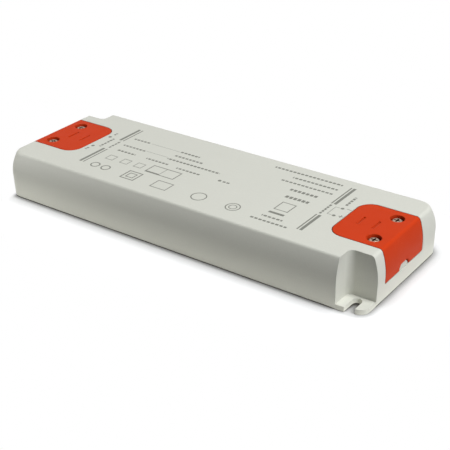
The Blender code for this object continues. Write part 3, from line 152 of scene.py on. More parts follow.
class Net:
    """A node tree that is being wired: of a material, of the world or of geometry."""

    def __init__(self, tree):
        self.tree = tree

    def node(self, kind, settings=None, values=None):
        """Add a node: its settings first, then the values and wires of its sockets."""
        made = self.tree.nodes.new(kind)
        for name, value in (settings or {}).items():
            setattr(made, name, value)
        for key, value in (values or {}).items():
            self.feed(socket_of(made.inputs, key), value)
        return Outputs(self, made)

    def feed(self, socket, value):
        """Link a wire to a socket, or set the socket to a number, a vector or a colour."""
        if isinstance(value, Wire):
            self.tree.links.new(value.socket, socket)
        elif socket.type == "RGBA":
            socket.default_value = (*value, 1.0)
        else:
            socket.default_value = value

    def maths(self, operation, *terms):
        return self.node("ShaderNodeMath", {"operation": operation}, dict(enumerate(terms)))["Value"]

    def mix(self, share, first, second):
        """The first colour where share is 0 and the second where it is 1."""
        return self.node("ShaderNodeMix", {"data_type": "RGBA"},
                         {"Factor_Float": share, "A_Color": first, "B_Color": second})["Result_Color"]

    def any_of(self, masks):
        """1 where at least one mask is 1."""
        whole = masks[0]
        for mask in masks[1:]:
            whole = self.maths("MAXIMUM", whole, mask)
        return whole


class Outputs:
    """The output sockets of one node, each handed out as a Wire."""

    def __init__(self, net, made):
        self.net, self.made = net, made

    def __getitem__(self, key):
        return Wire(self.net, socket_of(self.made.outputs, key))


print("ready to write finishes as formulas")

# %% [markdown]
# ## What the finishes share
#
# The finishes here are built from the same few things: the place on the object in metres, a noise
# at a chosen grain size, and a mask of the edges. Object coordinates suit a rigid product, because
# the pattern then stays put from every side. The edge mask compares the true face with a rounded one
# from the Bevel node, which also makes crisp CAD edges catch the light as moulded edges do. Many
# finishes also colour their edges lighter with this mask, which is a painted highlight. Handling
# leaves short fine scratches in a few places, which are the thin crests of a stretched noise.

# %% Define a finish
SHADER_RAYS = 6                     # enough, because each picture sample shoots them again
FLAT_TO_EDGE = (0.995, 0.80)        # how well the rounded face agrees with the true one
OPEN_TO_DEEP = (0.45, 0.15)         # share of the sky that a point sees
FACES_IT = 0.9                      # from this share up, a face looks along an axis
# Edges that handling picks are coloured lighter, as wear and as a painted highlight.
HANDLED_LEVELS = (0.35, 0.65)       # noise levels between which hands have polished an edge
SCUFF_WIDTH = 1.2 * MM
SCUFF_STRETCH = (0.10, 1.0, 1.0)
SCUFF_CREST = (0.012, 0.002)
WORN_PATCH = 11 * MM
WORN_LEVELS = (0.56, 0.66)


class Finish(Net):
    """A material with a Principled shader, wired by expressions."""

    def __init__(self, name):
        self.material = bpy.data.materials.new(name)
        self.material.use_nodes = True
        super().__init__(self.material.node_tree)
        self.shader = self.tree.nodes["Principled BSDF"]
        self.place = self.node("ShaderNodeTexCoord")["Object"]

    def parts(self, vector):
        """The three numbers of a vector."""
        split = self.node("ShaderNodeSeparateXYZ", None, {"Vector": vector})
        return split["X"], split["Y"], split["Z"]

    def axes(self):
        """The place on the object along each axis."""
        return self.parts(self.place)

    def facing(self):
        """How far the face looks along each axis, from -1 to 1."""
        return self.parts(self.node("ShaderNodeNewGeometry")["True Normal"])

    def noise(self, grain, detail=2.0, stretch=None):
        """Cloudy noise from 0 to 1 with spots of about that many metres."""
        place = self.place
        if stretch:
            place = self.node("ShaderNodeMapping", None, {"Vector": place, "Scale": stretch})["Vector"]
        return self.node("ShaderNodeTexNoise", None,
                         {"Vector": place, "Scale": 1.0 / grain, "Detail": detail})["Fac"]

    def cell_borders(self, size):
        """The distance to the border between cells of about that size."""
        return self.node("ShaderNodeTexVoronoi", {"feature": "DISTANCE_TO_EDGE"},
                         {"Vector": self.place, "Scale": 1.0 / size})["Distance"]

    def eased(self, radius):
        """The face's direction with its edges rounded, and a mask of those edges."""
        rounded = self.node("ShaderNodeBevel", {"samples": SHADER_RAYS}, {"Radius": radius})["Normal"]
        true_face = self.node("ShaderNodeNewGeometry")["Normal"]
        agreement = self.node("ShaderNodeVectorMath", {"operation": "DOT_PRODUCT"},
                              {0: rounded, 1: true_face})["Value"]
        return rounded, agreement.ramp(*FLAT_TO_EDGE)

    def open_sky(self, reach, rays=SHADER_RAYS):
        """The share of directions in which nothing stands within reach."""
        return self.node("ShaderNodeAmbientOcclusion", {"samples": rays}, {"Distance": reach})["AO"]

    def crevice(self, reach):
        """1 deep in a narrow gap, and 0 on open faces."""
        return self.open_sky(reach).ramp(*OPEN_TO_DEEP)

    def scuffs(self):
        """1 along a few short, fine scratches in worn places."""
        crest = abs(self.noise(SCUFF_WIDTH, 3.0, stretch=SCUFF_STRETCH) - 0.5)
        return crest.ramp(*SCUFF_CREST) * self.noise(WORN_PATCH, 3.0).ramp(*WORN_LEVELS)

    def bump(self, height, depth, under=None):
        """The face's direction over a relief that is depth high where height is 1."""
        values = {"Height": height, "Distance": depth, "Strength": 1.0}
        if under:
            values["Normal"] = under
        return self.node("ShaderNodeBump", None, values)["Normal"]

    def paint(self, **values):
        """Set the shader's sockets, written with _ for each space in their names."""
        for name, value in values.items():
            self.feed(self.shader.inputs[name.replace("_", " ")], value)
        return self.material


def lit(colour, share):
    """A colour made lighter or darker."""
    return tuple(min(1.0, part * share) for part in colour)


print("ready to define finishes")

# %% [markdown]
# ## The print on the lid
#
# The lid is pad-printed in grey ink. Ink is only micrometres thick, so it is a mask in the finish
# and not a piece: on a mask, the lid keeps its exact height. Each mark is a sum of simple shapes, as
# in a drawing: rectangles, frames, discs and rings. The terminal marks and the double bars are kept,
# and where a label would have words, rows of plain dashes stand for them.

# %% Lay out the print
PRINT_BARS = [                  # left, right, front and back, all in millimetres
    (54.0, 54.6, -19.1, -4.75), (54.0, 54.6, 6.15, 22.3),
    (55.2, 56.5, -19.1, -4.75), (55.2, 56.5, 6.15, 22.3),
    (-54.2, -53.6, -19.2, -3.5), (-54.2, -53.6, 6.9, 20.9),
    (-56.35, -55.05, -19.2, -3.5), (-56.35, -55.05, 6.9, 20.9),
    (37.7, 44.7, -13.7, -12.3), (-25.9, -18.7, -11.9, -10.8),
]
THIN_LINES = [
    (-41.0, -25.5, 11.6, 11.8), (-38.0, -26.0, 4.2, 4.4), (-18.7, -18.4, -11.9, -5.0),
    (57.15, 57.4, -2.2, 4.6), (57.15, 59.1, -2.2, -1.95), (57.15, 59.1, 4.35, 4.6),
]
POLARITY_SIGNS = [
    (61.9, 63.9, 4.95, 5.35),
    (61.9, 63.9, -1.65, -1.25), (62.7, 63.1, -2.45, -0.45),
]
FRAMES = [                      # the same four sides, then the thickness of the line
    (-25.9, -10.7, -11.9, -5.0, 0.50), (-15.2, -7.0, -21.7, -15.2, 0.45),
    (37.9, 44.4, -10.2, -3.2, 0.45), (-48.5, -44.3, -11.4, -7.2, 0.35),
    (-40.6, -36.4, -11.2, -7.0, 0.35), (-33.1, -28.9, -10.9, -6.7, 0.35),
    (-31.2, -23.8, -21.9, -14.5, 0.60), (-29.5, -25.5, -20.2, -16.2, 0.50),
]
DISCS = [(60.2, 4.6, 0.75), (60.2, -2.1, 0.75), (-61.9, 7.3, 0.8), (-61.9, -4.2, 0.8), (6.0, -1.8, 0.8)]
RINGS = [                       # middle, outer and inner radius
    (7.6, -18.1, 3.40, 2.90), (24.1, -17.9, 3.20, 2.72), (24.1, -17.9, 1.80, 1.38),
    (-47.5, -18.4, 2.25, 1.65), (-41.7, -18.4, 2.25, 1.65),
]
WORD_ROWS = [                   # left, right, middle line and thickness
    (17.7, 50.2, 22.1, 1.2), (29.4, 50.5, 17.5, 1.2), (26.1, 50.7, 13.1, 1.1),
    (34.4, 47.5, 7.6, 1.7), (36.0, 46.8, 1.4, 1.9), (37.0, 46.4, -16.9, 1.1), (34.0, 50.6, -20.5, 1.1),
    (-51.1, -42.0, 11.7, 1.1), (-24.9, -14.6, 11.8, 1.2), (-50.8, -38.5, 3.9, 1.1),
    (-25.2, -10.0, 7.6, 1.2), (-49.8, -39.5, -1.6, 1.2), (-25.6, 2.1, 3.5, 1.2),
    (-33.4, -21.5, -1.4, 1.1), (-16.5, -4.2, -2.0, 1.1), (7.4, 11.2, -1.8, 1.1),
]
WORD_COLUMNS = [                # front, back, middle line and thickness
    (-3.6, 5.4, 54.9, 1.0), (7.2, 15.7, 60.1, 1.1), (-3.1, 6.7, -58.9, 1.1), (-1.9, 5.9, -54.4, 1.0),
    (-8.8, -6.6, -62.2, 1.1), (9.9, 12.1, -61.6, 1.1),
]
DASH_PITCH = 1.9                # millimetres from one dash to the next
DASH_SHARE = 0.74               # how much of that is ink
LID_DEPTH = 0.2 * MM            # no ink lies lower than this under the lid's face


def patch(x, y, left, right, front, back):
    """A rectangle of ink, with its sides in millimetres."""
    return x.between(left * MM, right * MM) * y.between(front * MM, back * MM)


def frame_line(x, y, left, right, front, back, line):
    """A rectangle of ink with a bare middle."""
    inside = patch(x, y, left + line, right - line, front + line, back - line)
    return patch(x, y, left, right, front, back) * (1 - inside)


def distance_from(x, y, middle_x, middle_y):
    """How far a point lies from the upright axis through that middle, in metres."""
    off_x, off_y = x - middle_x, y - middle_y
    return (off_x * off_x + off_y * off_y) ** 0.5


def off_mark(x, y, middle):
    """How far a point lies from the middle of a mark, which is written in millimetres."""
    return distance_from(x, y, *(part * MM for part in middle))


def word_strips(along, across, strips):
    """Dashes along each strip, as long as the words that a label would have there."""
    solid = [patch(along, across, start, end, middle - thickness / 2, middle + thickness / 2)
             for start, end, middle, thickness in strips]
    dashes = (along / (DASH_PITCH * MM)).fraction() < DASH_SHARE
    return along.net.any_of(solid) * dashes


def printed(x, y, z):
    """1 where the lid carries ink."""
    marks = [patch(x, y, *sides) for sides in PRINT_BARS + THIN_LINES + POLARITY_SIGNS]
    marks += [frame_line(x, y, *sides) for sides in FRAMES]
    marks += [off_mark(x, y, middle) < radius * MM for *middle, radius in DISCS]
    marks += [off_mark(x, y, middle).between(inner * MM, outer * MM) for *middle, outer, inner in RINGS]
    marks += [word_strips(x, y, WORD_ROWS), word_strips(y, x, WORD_COLUMNS)]
    on_lid = z > case_high.z - LID_DEPTH
    return x.net.any_of(marks) * on_lid


print("printed shapes:", sum(map(len, (PRINT_BARS, THIN_LINES, POLARITY_SIGNS, FRAMES, DISCS, RINGS,
                                       WORD_ROWS, WORD_COLUMNS))))

# %% [markdown]
# ## Case plastic
#
# The case is satin polycarbonate from a spark-eroded mould, which leaves a grain of about a quarter
# of a millimetre. A bump is enough for that, because it never shows in the outline. The grey is never
# quite even, so a wide cloud and a fine speckle vary it by a few hundredths, and a few scuffs are
# lighter. Edges that handling picks are coloured lighter, as wear and as a painted highlight, and
# narrow seams are coloured dark, as dust and as painted shade. The ink goes on top of all that, and
# shines a little more than the plastic.

# %% Make the case plastic
CASE_COLOUR = (0.606, 0.610, 0.544)
INK_COLOUR = (0.180, 0.184, 0.155)
CASE_DUST_AND_SHADE = (0.14, 0.11, 0.08)
CASE_EDGE = 0.18 * MM
CASE_CLOUD = 40 * MM
CASE_SPECKLE = 0.5 * MM
CASE_GRAIN = 0.25 * MM
CASE_GRAIN_DEPTH = 0.030 * MM
CASE_HANDLED = 9 * MM           # size of the patches that hands have polished
CASE_ROUGHNESS = 0.46
INK_GRAIN = 0.6 * MM
INK_LEVELS = (0.20, 0.34)       # noise levels between which the ink goes from thin to full
SEAM_REACH = 1.0 * MM


def case_plastic():
    look = Finish("satin_case_plastic")
    x, y, z = look.axes()
    rounded, edge = look.eased(CASE_EDGE)
    handling = look.noise(CASE_HANDLED, 4.0)
    ink = printed(x, y, z) * look.noise(INK_GRAIN).ramp(*INK_LEVELS, 0.75, 1.0)
    speckle = look.noise(CASE_SPECKLE).ramp(0.30, 0.70, 0.0, 0.5)
    body = look.mix(look.noise(CASE_CLOUD), lit(CASE_COLOUR, 0.975), lit(CASE_COLOUR, 1.025))
    body = look.mix(speckle, body, lit(CASE_COLOUR, 0.95))
    body = look.mix(look.scuffs() * 0.5, body, lit(CASE_COLOUR, 1.10))
    # Edges that handling picks are coloured lighter: wear, and a painted highlight.
    worn_and_highlit_edge = edge * handling.ramp(*HANDLED_LEVELS, 0.25, 0.8)
    rubbed_and_highlit = look.mix(worn_and_highlit_edge, body, lit(CASE_COLOUR, 1.12))
    # Narrow seams are coloured dark: dust, and painted shade where little light reaches.
    dusty_and_shaded = look.mix(look.crevice(SEAM_REACH), rubbed_and_highlit, CASE_DUST_AND_SHADE)
    return look.paint(
        Base_Color=look.mix(ink, dusty_and_shaded, INK_COLOUR),
        Roughness=CASE_ROUGHNESS + handling * 0.10 - edge * 0.10 - ink * 0.08,
        Normal=look.bump(look.noise(CASE_GRAIN, 3.0), CASE_GRAIN_DEPTH, rounded),
        Specular_IOR_Level=0.3,
    )


case_finish = case_plastic()
print("case finish nodes:", len(case_finish.node_tree.nodes))

# %% [markdown]
# ## Orange cover plastic
#
# The wire covers are the same kind of moulding in a saturated orange. Strong colours show two things
# that grey hides: faint lighter streaks where the melt flowed, and pale rims where edges were rubbed,
# which are also a painted highlight. Both are masks on the colour. Faces that look along the length
# are coloured a little darker, as painted shade. The grain is finer, so the covers look a little
# smoother than the case. Deep colour swallows light in a hollow, so the floors of the grip grooves
# and of the screw holes are painted darker. They are found as faces that look up from below the
# level of the lid.

# %% Make the cover plastic
COVER_COLOUR = (0.545, 0.043, 0.0075)
COVER_RUB_AND_HIGHLIGHT = (0.66, 0.09, 0.03)
COVER_SHADE = (0.34, 0.024, 0.006)
COVER_EDGE = 0.35 * MM
COVER_GRAIN = 0.18 * MM
COVER_GRAIN_DEPTH = 0.020 * MM
COVER_HANDLED = 5 * MM
COVER_ROUGHNESS = 0.44
MELT_STREAK = 14 * MM
STREAK_STRETCH = (0.5, 2.0, 1.0)
SUNK_DEPTH = 0.15 * MM          # faces that look up from lower than this lie in a hollow
HOLLOW_REACH = 1.6 * MM


def cover_plastic():
    look = Finish("satin_cover_plastic")
    rounded, edge = look.eased(COVER_EDGE)
    flow = look.noise(MELT_STREAK, 3.0, stretch=STREAK_STRETCH)
    handling = look.noise(COVER_HANDLED, 4.0)
    _, _, height = look.axes()
    end_face, _, up = look.facing()
    sunk = (up > FACES_IT) * (height < case_high.z - SUNK_DEPTH)
    body = look.mix(flow, lit(COVER_COLOUR, 0.94), lit(COVER_COLOUR, 1.06))
    # Painted shade: faces that look along the length are coloured a little darker.
    body = look.mix(abs(end_face).ramp(0.3, FACES_IT), body, lit(COVER_COLOUR, 0.97))
    body = look.mix(look.scuffs() * 0.4, body, COVER_RUB_AND_HIGHLIGHT)
    body = look.mix(sunk, body, lit(COVER_COLOUR, 0.84))
    # Edges that handling picks get paler rims: wear, and a painted highlight.
    rubbed_and_highlit = look.mix(edge * handling.ramp(*HANDLED_LEVELS, 0.0, 0.35), body, COVER_RUB_AND_HIGHLIGHT)
    return look.paint(
        Base_Color=look.mix(look.crevice(HOLLOW_REACH), rubbed_and_highlit, COVER_SHADE),
        Roughness=COVER_ROUGHNESS + handling * 0.12 - edge * 0.05,
        Normal=look.bump(look.noise(COVER_GRAIN, 3.0), COVER_GRAIN_DEPTH, rounded),
        Specular_IOR_Level=0.06,
    )


cover_finish = cover_plastic()
print("cover finish nodes:", len(cover_finish.node_tree.nodes))

# %% [markdown]
# ## Zinc on steel, and the other metals
#
# The cover screws are zinc-plated: bright, faintly uneven in tint, with fine rings from the die on
# the head. Their edges are coloured lighter as a painted highlight, and the cross is coloured dark as
# grime and painted shade. Rings have to run round each screw, so the pattern is centred on the
# screw's own axis, and every screw gets a finish of its own from one function.

# %% Make the metals
ZINC = (0.45, 0.33, 0.26)
BRASS = (0.70, 0.50, 0.20)
ALUMINIUM = (0.74, 0.75, 0.77)
GRIME_AND_SHADE = (0.09, 0.075, 0.06)
FINE_EDGE = 0.15 * MM
SMALL_EDGE = 0.2 * MM
TURNED_ROUGHNESS = 0.28
TURNED_MOTTLE = 0.9 * MM
DRAWN_ROUGHNESS = 0.34
DRAWN_STAIN = 4 * MM
DIE_RING = 0.16 * MM
DIE_RING_DEPTH = 0.006 * MM
DRAWN_LINE = 0.35 * MM
DRAWN_LINE_DEPTH = 0.01 * MM
RECESS_REACH = 1.2 * MM
RECESS_RAYS = 8


def centre_of(name):
    low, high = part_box(name)
    return (low + high) / 2


def turned_metal(name, colour, centre):
    """Metal with fine rings round the upright axis through centre, and grime and painted shade in its
    hollows.
    """
    look = Finish(name)
    x, y, _ = look.axes()
    rings = (distance_from(x, y, centre.x, centre.y) / DIE_RING).fraction()
    rounded, edge = look.eased(FINE_EDGE)
    tint = look.noise(TURNED_MOTTLE, 3.0)
    body = look.mix(tint, lit(colour, 0.88), lit(colour, 1.10))
    open_and_clean = look.open_sky(RECESS_REACH, RECESS_RAYS).ramp(0.15, 0.6)
    return look.paint(
        # Grime and painted shade in the hollows, and a painted highlight on the edges.
        Base_Color=look.mix(open_and_clean, GRIME_AND_SHADE, look.mix(edge, body, lit(colour, 1.25))),
        Roughness=TURNED_ROUGHNESS + tint * 0.18 - edge * 0.08,
        Metallic=1.0,
        Normal=look.bump(rings, DIE_RING_DEPTH, rounded),
    )


def drawn_metal(name, colour, stretch):
    """Rolled or extruded metal, with fine lines along the axis that stretch makes small."""
    look = Finish(name)
    rounded, edge = look.eased(SMALL_EDGE)
    stain = look.noise(DRAWN_STAIN, 4.0)
    body = look.mix(stain, lit(colour, 0.85), lit(colour, 1.08))
    return look.paint(
        # Painted highlight: the edges are coloured lighter.
        Base_Color=look.mix(edge, body, lit(colour, 1.2)),
        Roughness=DRAWN_ROUGHNESS + stain * 0.16,
        Metallic=1.0,
        Normal=look.bump(look.noise(DRAWN_LINE, 3.0, stretch=stretch), DRAWN_LINE_DEPTH, rounded),
    )


screw_finishes = {
    name: turned_metal("zinc_" + name, ZINC, centre_of(name))
    for name in sorted(nodes) if "_screw" in name
}
brass_finish = drawn_metal("brass_clamp", BRASS, (1.0, 0.06, 1.0))
sink_finish = drawn_metal("extruded_aluminium", ALUMINIUM, (0.04, 1.0, 1.0))
print("metal finishes:", len(screw_finishes) + 2)

# %% [markdown]
# ## Plain mouldings, dipped and cast parts
#
# Inside the case sit small parts in a dozen plastics and lacquers. They differ in colour, grain and
# gloss, but are all one idea: a body colour with a cloud in it, a grain, and edges painted paler as a
# highlight.
# One function takes the colour, the roughness, and the size and depth of the grain. It makes them
# all, which keeps each finish to one line.

# %% Make the inner plastics and lacquers
CLOUD_TO_GRAIN = 12             # how much wider the cloud is than the grain
EDGE_HIGHLIGHT = 1.3
PLASTIC_IOR = 1.5


def moulding(name, colour, roughness, grain, depth, mottling=0.08):
    """A plain moulded, dipped or pressed finish."""
    look = Finish(name)
    rounded, edge = look.eased(SMALL_EDGE)
    cloud = look.noise(grain * CLOUD_TO_GRAIN, 3.0)
    body = look.mix(cloud, lit(colour, 1 - mottling), lit(colour, 1 + mottling))
    return look.paint(
        # Painted highlight: the edges are coloured paler.
        Base_Color=look.mix(edge * 0.7, body, lit(colour, EDGE_HIGHLIGHT)),
        Roughness=roughness + cloud * 0.10 - edge * 0.05,
        Normal=look.bump(look.noise(grain, 3.0), depth, rounded),
        IOR=PLASTIC_IOR,
    )


mouldings = {
    "terminal_plastic": moulding("terminal_green", (0.05, 0.22, 0.12), 0.42, 0.3 * MM, 0.010 * MM),
    "brown_plastic": moulding("fuse_brown", (0.16, 0.08, 0.04), 0.38, 0.3 * MM, 0.008 * MM),
    "dark_epoxy": moulding("moulding_epoxy", (0.035, 0.035, 0.036), 0.50, 0.12 * MM, 0.012 * MM),
    "blue_epoxy": moulding("dipped_blue", (0.04, 0.12, 0.40), 0.25, 0.8 * MM, 0.020 * MM),
    "green_epoxy": moulding("dipped_green", (0.04, 0.10, 0.06), 0.28, 0.8 * MM, 0.020 * MM),
    "yellow_plastic": moulding("film_box_yellow", (0.70, 0.52, 0.10), 0.36, 0.3 * MM, 0.008 * MM),
    "ferrite": moulding("pressed_ferrite", (0.07, 0.07, 0.075), 0.62, 0.15 * MM, 0.020 * MM, 0.25),
    "ceramic_blue": moulding("ceramic_blue", (0.10, 0.28, 0.52), 0.40, 0.6 * MM, 0.015 * MM),
}
print("moulded finishes:", len(mouldings))

# %% [markdown]
# ## Circuit board
#
# The board is tan glass laminate above and green lacquer over copper below. From above it shows a
# fine weave, which is two crossed waves. The copper could be drawn line by line, but it lies on the
# underside, so large cells do: wide flat areas with narrow gaps between them, as in a power supply.

# %% Make the board laminate
LAMINATE = (0.50, 0.36, 0.17)
LACQUER = (0.03, 0.16, 0.07)
GLASS_WEAVE = 0.8 * MM
COPPER_AREA = 9 * MM
TRACK_GAP = 0.05                # as a share of a copper area
BOARD_STAIN = 3 * MM
BOARD_RELIEF = 0.03 * MM


def board_laminate():
    look = Finish("glass_laminate")
    x, y, _ = look.axes()
    _, _, up = look.facing()
    threads = ((x / GLASS_WEAVE).fraction() - 0.5) * ((y / GLASS_WEAVE).fraction() - 0.5)
    rounded, edge = look.eased(FINE_EDGE)
    gap = look.cell_borders(COPPER_AREA) < TRACK_GAP
    top = look.mix(threads.ramp(-0.2, 0.2), lit(LAMINATE, 0.93), lit(LAMINATE, 1.06))
    tracks = look.mix(gap, lit(LACQUER, 1.7), LACQUER)
    under = up < -0.5
    return look.paint(
        # Painted highlight: the edges are coloured paler.
        Base_Color=look.mix(edge * 0.4, look.mix(under, top, tracks), lit(LAMINATE, 1.3)),
        Roughness=0.48 - under * 0.18 + look.noise(BOARD_STAIN) * 0.1,
        Normal=look.bump(threads * (1 - under) + gap * under * -0.5, BOARD_RELIEF, rounded),
        IOR=PLASTIC_IOR,
    )


board_finish = board_laminate()
print("board finish nodes:", len(board_finish.node_tree.nodes))

# %% [markdown]
# ## Windings
#
# Wound wire is a row of round ridges. Real turns would cost thousands of faces inside a closed case,
# so they are a bump, and the gaps between the turns are coloured dark as painted shade. On a ring core
# they stand like spokes, so the turn count goes round the core's axis; on a drum they lie level, so it
# goes up it.

# %% Make the windings
COPPER = (0.62, 0.26, 0.10)
TURNS_ROUND_RING = 62
WIRE_PITCH = 0.55 * MM
WIRE_RELIEF = 0.15 * MM
WIRE_MOTTLE = 1.5 * MM


def enamelled_wire(name, centre=None):
    """Copper wire: spokes round centre where it is given, and level turns otherwise."""
    look = Finish(name)
    x, y, z = look.axes()
    if centre:
        angle = look.maths("ARCTAN2", y - centre.y, x - centre.x)
        turns = (angle * (TURNS_ROUND_RING / math.tau)).fraction()
    else:
        turns = (z / WIRE_PITCH).fraction()
    ridge = 1 - abs(turns * 2 - 1) ** 2.0
    tint = look.noise(WIRE_MOTTLE)
    return look.paint(
        # Painted shade: the gaps between the turns are coloured dark.
        Base_Color=look.mix(ridge.ramp(0.0, 0.5), lit(COPPER, 0.25),
                            look.mix(tint, lit(COPPER, 0.85), lit(COPPER, 1.15))),
        Roughness=0.30 + tint * 0.12,
        Metallic=1.0,
        Normal=look.bump(ridge, WIRE_RELIEF),
        Coat_Weight=0.4,
    )


ring_wire = enamelled_wire("choke_wire", centre_of("mains_choke_core"))
drum_wire = enamelled_wire("drum_wire")
print("wire pitch in mm:", WIRE_PITCH / MM)

# %% [markdown]
# ## Tape, sleeves and rings
#
# The transformer is wrapped in yellow tape with a darker line at each lap. A capacitor's shrink sleeve
# leaves its aluminium end bare and carries a pale stripe, and a resistor has coloured rings. Stripe
# and rings follow their own piece, so its middle and length are read from the box round it.

# %% Make the tape, the sleeves and the resistor's rings
TAPE = (0.74, 0.54, 0.09)
SLEEVE = (0.022, 0.022, 0.027)
SLEEVE_STRIPE = (0.55, 0.55, 0.54)
RESISTOR_COAT = (0.30, 0.42, 0.46)
RING_COLOURS = ((0.35, 0.03, 0.02), (0.45, 0.20, 0.02), (0.02, 0.02, 0.02), (0.55, 0.38, 0.10))
RING_SHARES = (0.24, 0.40, 0.56, 0.78)  # places along the resistor
RING_HALF_WIDTH = 0.035
SOFT_EDGE = 0.3 * MM
TAPE_LAP = 1.9 * MM
LAP_SHARE = 0.06
WRINKLE = 2.5 * MM
WRINKLE_STRETCH = (1.0, 1.0, 0.3)
WRINKLE_DEPTH = 0.15 * MM
STRIPE_SHARE = 0.13             # half the stripe's width, as a share of the can's
SLEEVE_SCUFF = 2 * MM
SLEEVE_RELIEF = 0.02 * MM
LACQUER_CLOUD = 1 * MM
LACQUER_GLOSS = 2 * MM
LACQUER_GRAIN = 0.5 * MM
LACQUER_RELIEF = 0.01 * MM


def winding_tape():
    look = Finish("polyester_tape")
    _, _, z = look.axes()
    rounded, edge = look.eased(SOFT_EDGE)
    laps = (z / TAPE_LAP).fraction() < LAP_SHARE
    wrinkle = look.noise(WRINKLE, 3.0, stretch=WRINKLE_STRETCH)
    return look.paint(
        Base_Color=look.mix(laps, look.mix(wrinkle, lit(TAPE, 0.9), lit(TAPE, 1.08)), lit(TAPE, 0.6)),
        Roughness=0.30 + wrinkle * 0.15 - edge * 0.05,
        Normal=look.bump(wrinkle, WRINKLE_DEPTH, rounded),
        IOR=PLASTIC_IOR,
    )


def shrink_sleeve(name):
    """A dark sleeve round an aluminium can, with a pale stripe along it."""
    look = Finish("sleeve_" + name)
    low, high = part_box(name)
    sizes = high - low
    _, y, _ = look.axes()
    face_x, _, face_z = look.facing()
    lying = sizes.x > sizes.z
    end_face = abs(face_x) > FACES_IT if lying else face_z > FACES_IT
    across = y - (low.y + high.y) / 2
    stripe = (abs(across) < sizes.y * STRIPE_SHARE) * (1 - end_face)
    scuff = look.noise(SLEEVE_SCUFF, 4.0)
    rounded, _ = look.eased(SOFT_EDGE)
    colour = look.mix(stripe, SLEEVE, SLEEVE_STRIPE)
    return look.paint(
        Base_Color=look.mix(end_face, look.mix(scuff * 0.3, colour, lit(SLEEVE, 2.5)), ALUMINIUM),
        Roughness=0.26 + scuff * 0.18,
        Metallic=end_face,
        Normal=look.bump(scuff, SLEEVE_RELIEF, rounded),
    )


def ringed_resistor():
    look = Finish("resistor_lacquer")
    low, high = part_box("snubber_resistor")
    _, y, _ = look.axes()
    along = (y - low.y) / (high.y - low.y)
    colour = look.mix(look.noise(LACQUER_CLOUD), lit(RESISTOR_COAT, 0.92), lit(RESISTOR_COAT, 1.05))
    for share, ring in zip(RING_SHARES, RING_COLOURS):
        colour = look.mix(abs(along - share) < RING_HALF_WIDTH, colour, ring)
    rounded, _ = look.eased(SMALL_EDGE)
    return look.paint(
        Base_Color=colour,
        Roughness=0.34 + look.noise(LACQUER_GLOSS) * 0.1,
        Normal=look.bump(look.noise(LACQUER_GRAIN), LACQUER_RELIEF, rounded),
        IOR=PLASTIC_IOR,
    )


tape_finish = winding_tape()
resistor_finish = ringed_resistor()
print("tape and resistor finishes ready, rings:", len(RING_COLOURS))

# %% [markdown]
# ## Shading of the CAD pieces
#
# Each CAD piece keeps its mesh, which arrives as loose triangles with flat shading. Two things are
# still allowed: a new material in its slot, and modifiers. A small node group merges the doubled
# points and keeps only edges over 32 degrees sharp, so that bowed walls look bowed. On the case and
# its covers, wide flat faces meet narrow rounds. A Weighted Normal modifier lets the wide faces decide
# at their shared points, so that the lid stays flat right up to its crease.

# %% Ease the shading of the pieces
SHARP_ANGLE = math.radians(32.0)
SAME_POINT = 0.002 * MM


def moulded_shading():
    """Geometry nodes that merge doubled points and set which edges stay sharp."""
    group = bpy.data.node_groups.new("moulded_shading", "GeometryNodeTree")
    group.interface.new_socket("Shape", in_out="INPUT", socket_type="NodeSocketGeometry")
    group.interface.new_socket("Shape", in_out="OUTPUT", socket_type="NodeSocketGeometry")
    net = Net(group)
    shape = net.node("NodeGroupInput")[0]
    merged = net.node("GeometryNodeMergeByDistance", None,
                      {"Geometry": shape, "Distance": SAME_POINT})["Geometry"]
    angle = net.node("GeometryNodeInputMeshEdgeAngle")["Unsigned Angle"]
    sharp = net.node("FunctionNodeCompare", {"operation": "GREATER_THAN"},
                     {0: angle, 1: SHARP_ANGLE})["Result"]
    shaded = net.node("GeometryNodeSetMeshNormal", {"mode": "SHARPNESS"},
                      {"Mesh": merged, "Remove Custom": True, "Edge Sharpness": sharp,
                       "Face Sharpness": False})["Mesh"]
    net.node("NodeGroupOutput", None, {0: shaded})
    return group


shading = moulded_shading()
print("shading nodes:", len(shading.nodes))

# %% [markdown]
# ## Dressing the CAD pieces
#
# Every piece comes with the plain material of the CAD model, and its name tells what the piece is
# made of. So one table from those names to the finishes dresses nearly all of them. Screws and
# sleeves have finishes of their own, and windings differ in the way that their turns lie.

# %% Give every piece its finish
BOWED = ("housing", "input_terminal_cover", "output_terminal_cover")
FINISH_BY_SLOT = {
    "case_plastic": case_finish, "cover_plastic": cover_finish, "board_laminate": board_finish,
    "brass": brass_finish, "aluminium": sink_finish, "winding_tape": tape_finish,
    "resistor_coat": resistor_finish, **mouldings,
}


def finish_for(name, cad_material):
    """The finish of one piece: its own where it has one, or else that of its CAD material."""
    if name in screw_finishes:
        return screw_finishes[name]
    if cad_material == "copper_wire":
        return ring_wire if name.startswith("mains_choke") else drum_wire
    if cad_material == "black_sleeve":
        return shrink_sleeve(name)
    return FINISH_BY_SLOT[cad_material]


for name, piece in sorted(nodes.items()):
    for slot in piece.material_slots:
        slot.material = finish_for(name, slot.material.name)
    piece.modifiers.new("moulded_shading", "NODES").node_group = shading
    if name in BOWED:
        level = piece.modifiers.new("flat_faces_first", "WEIGHTED_NORMAL")
        level.keep_sharp = True
print("dressed pieces:", len(nodes))

# %% [markdown]
# ## The floor
#
# A catalogue picture shows the object on seamless white with one soft shadow. Turning lamps up until
# the floor clips would bleach the pale case as well. Instead the floor shows two faces. To rays that
# the eye follows it is white paper that the lamps light, and its colour also carries a painted shadow:
# dark right beside the foot of the case, fading into pure white. To the light that it throws back it is
# white only in a strip round the case. So the strip lights the foot of the long side, and a darker band
# stays above it. Past the input end, where bright paper drowns it, the shadow fades sooner.

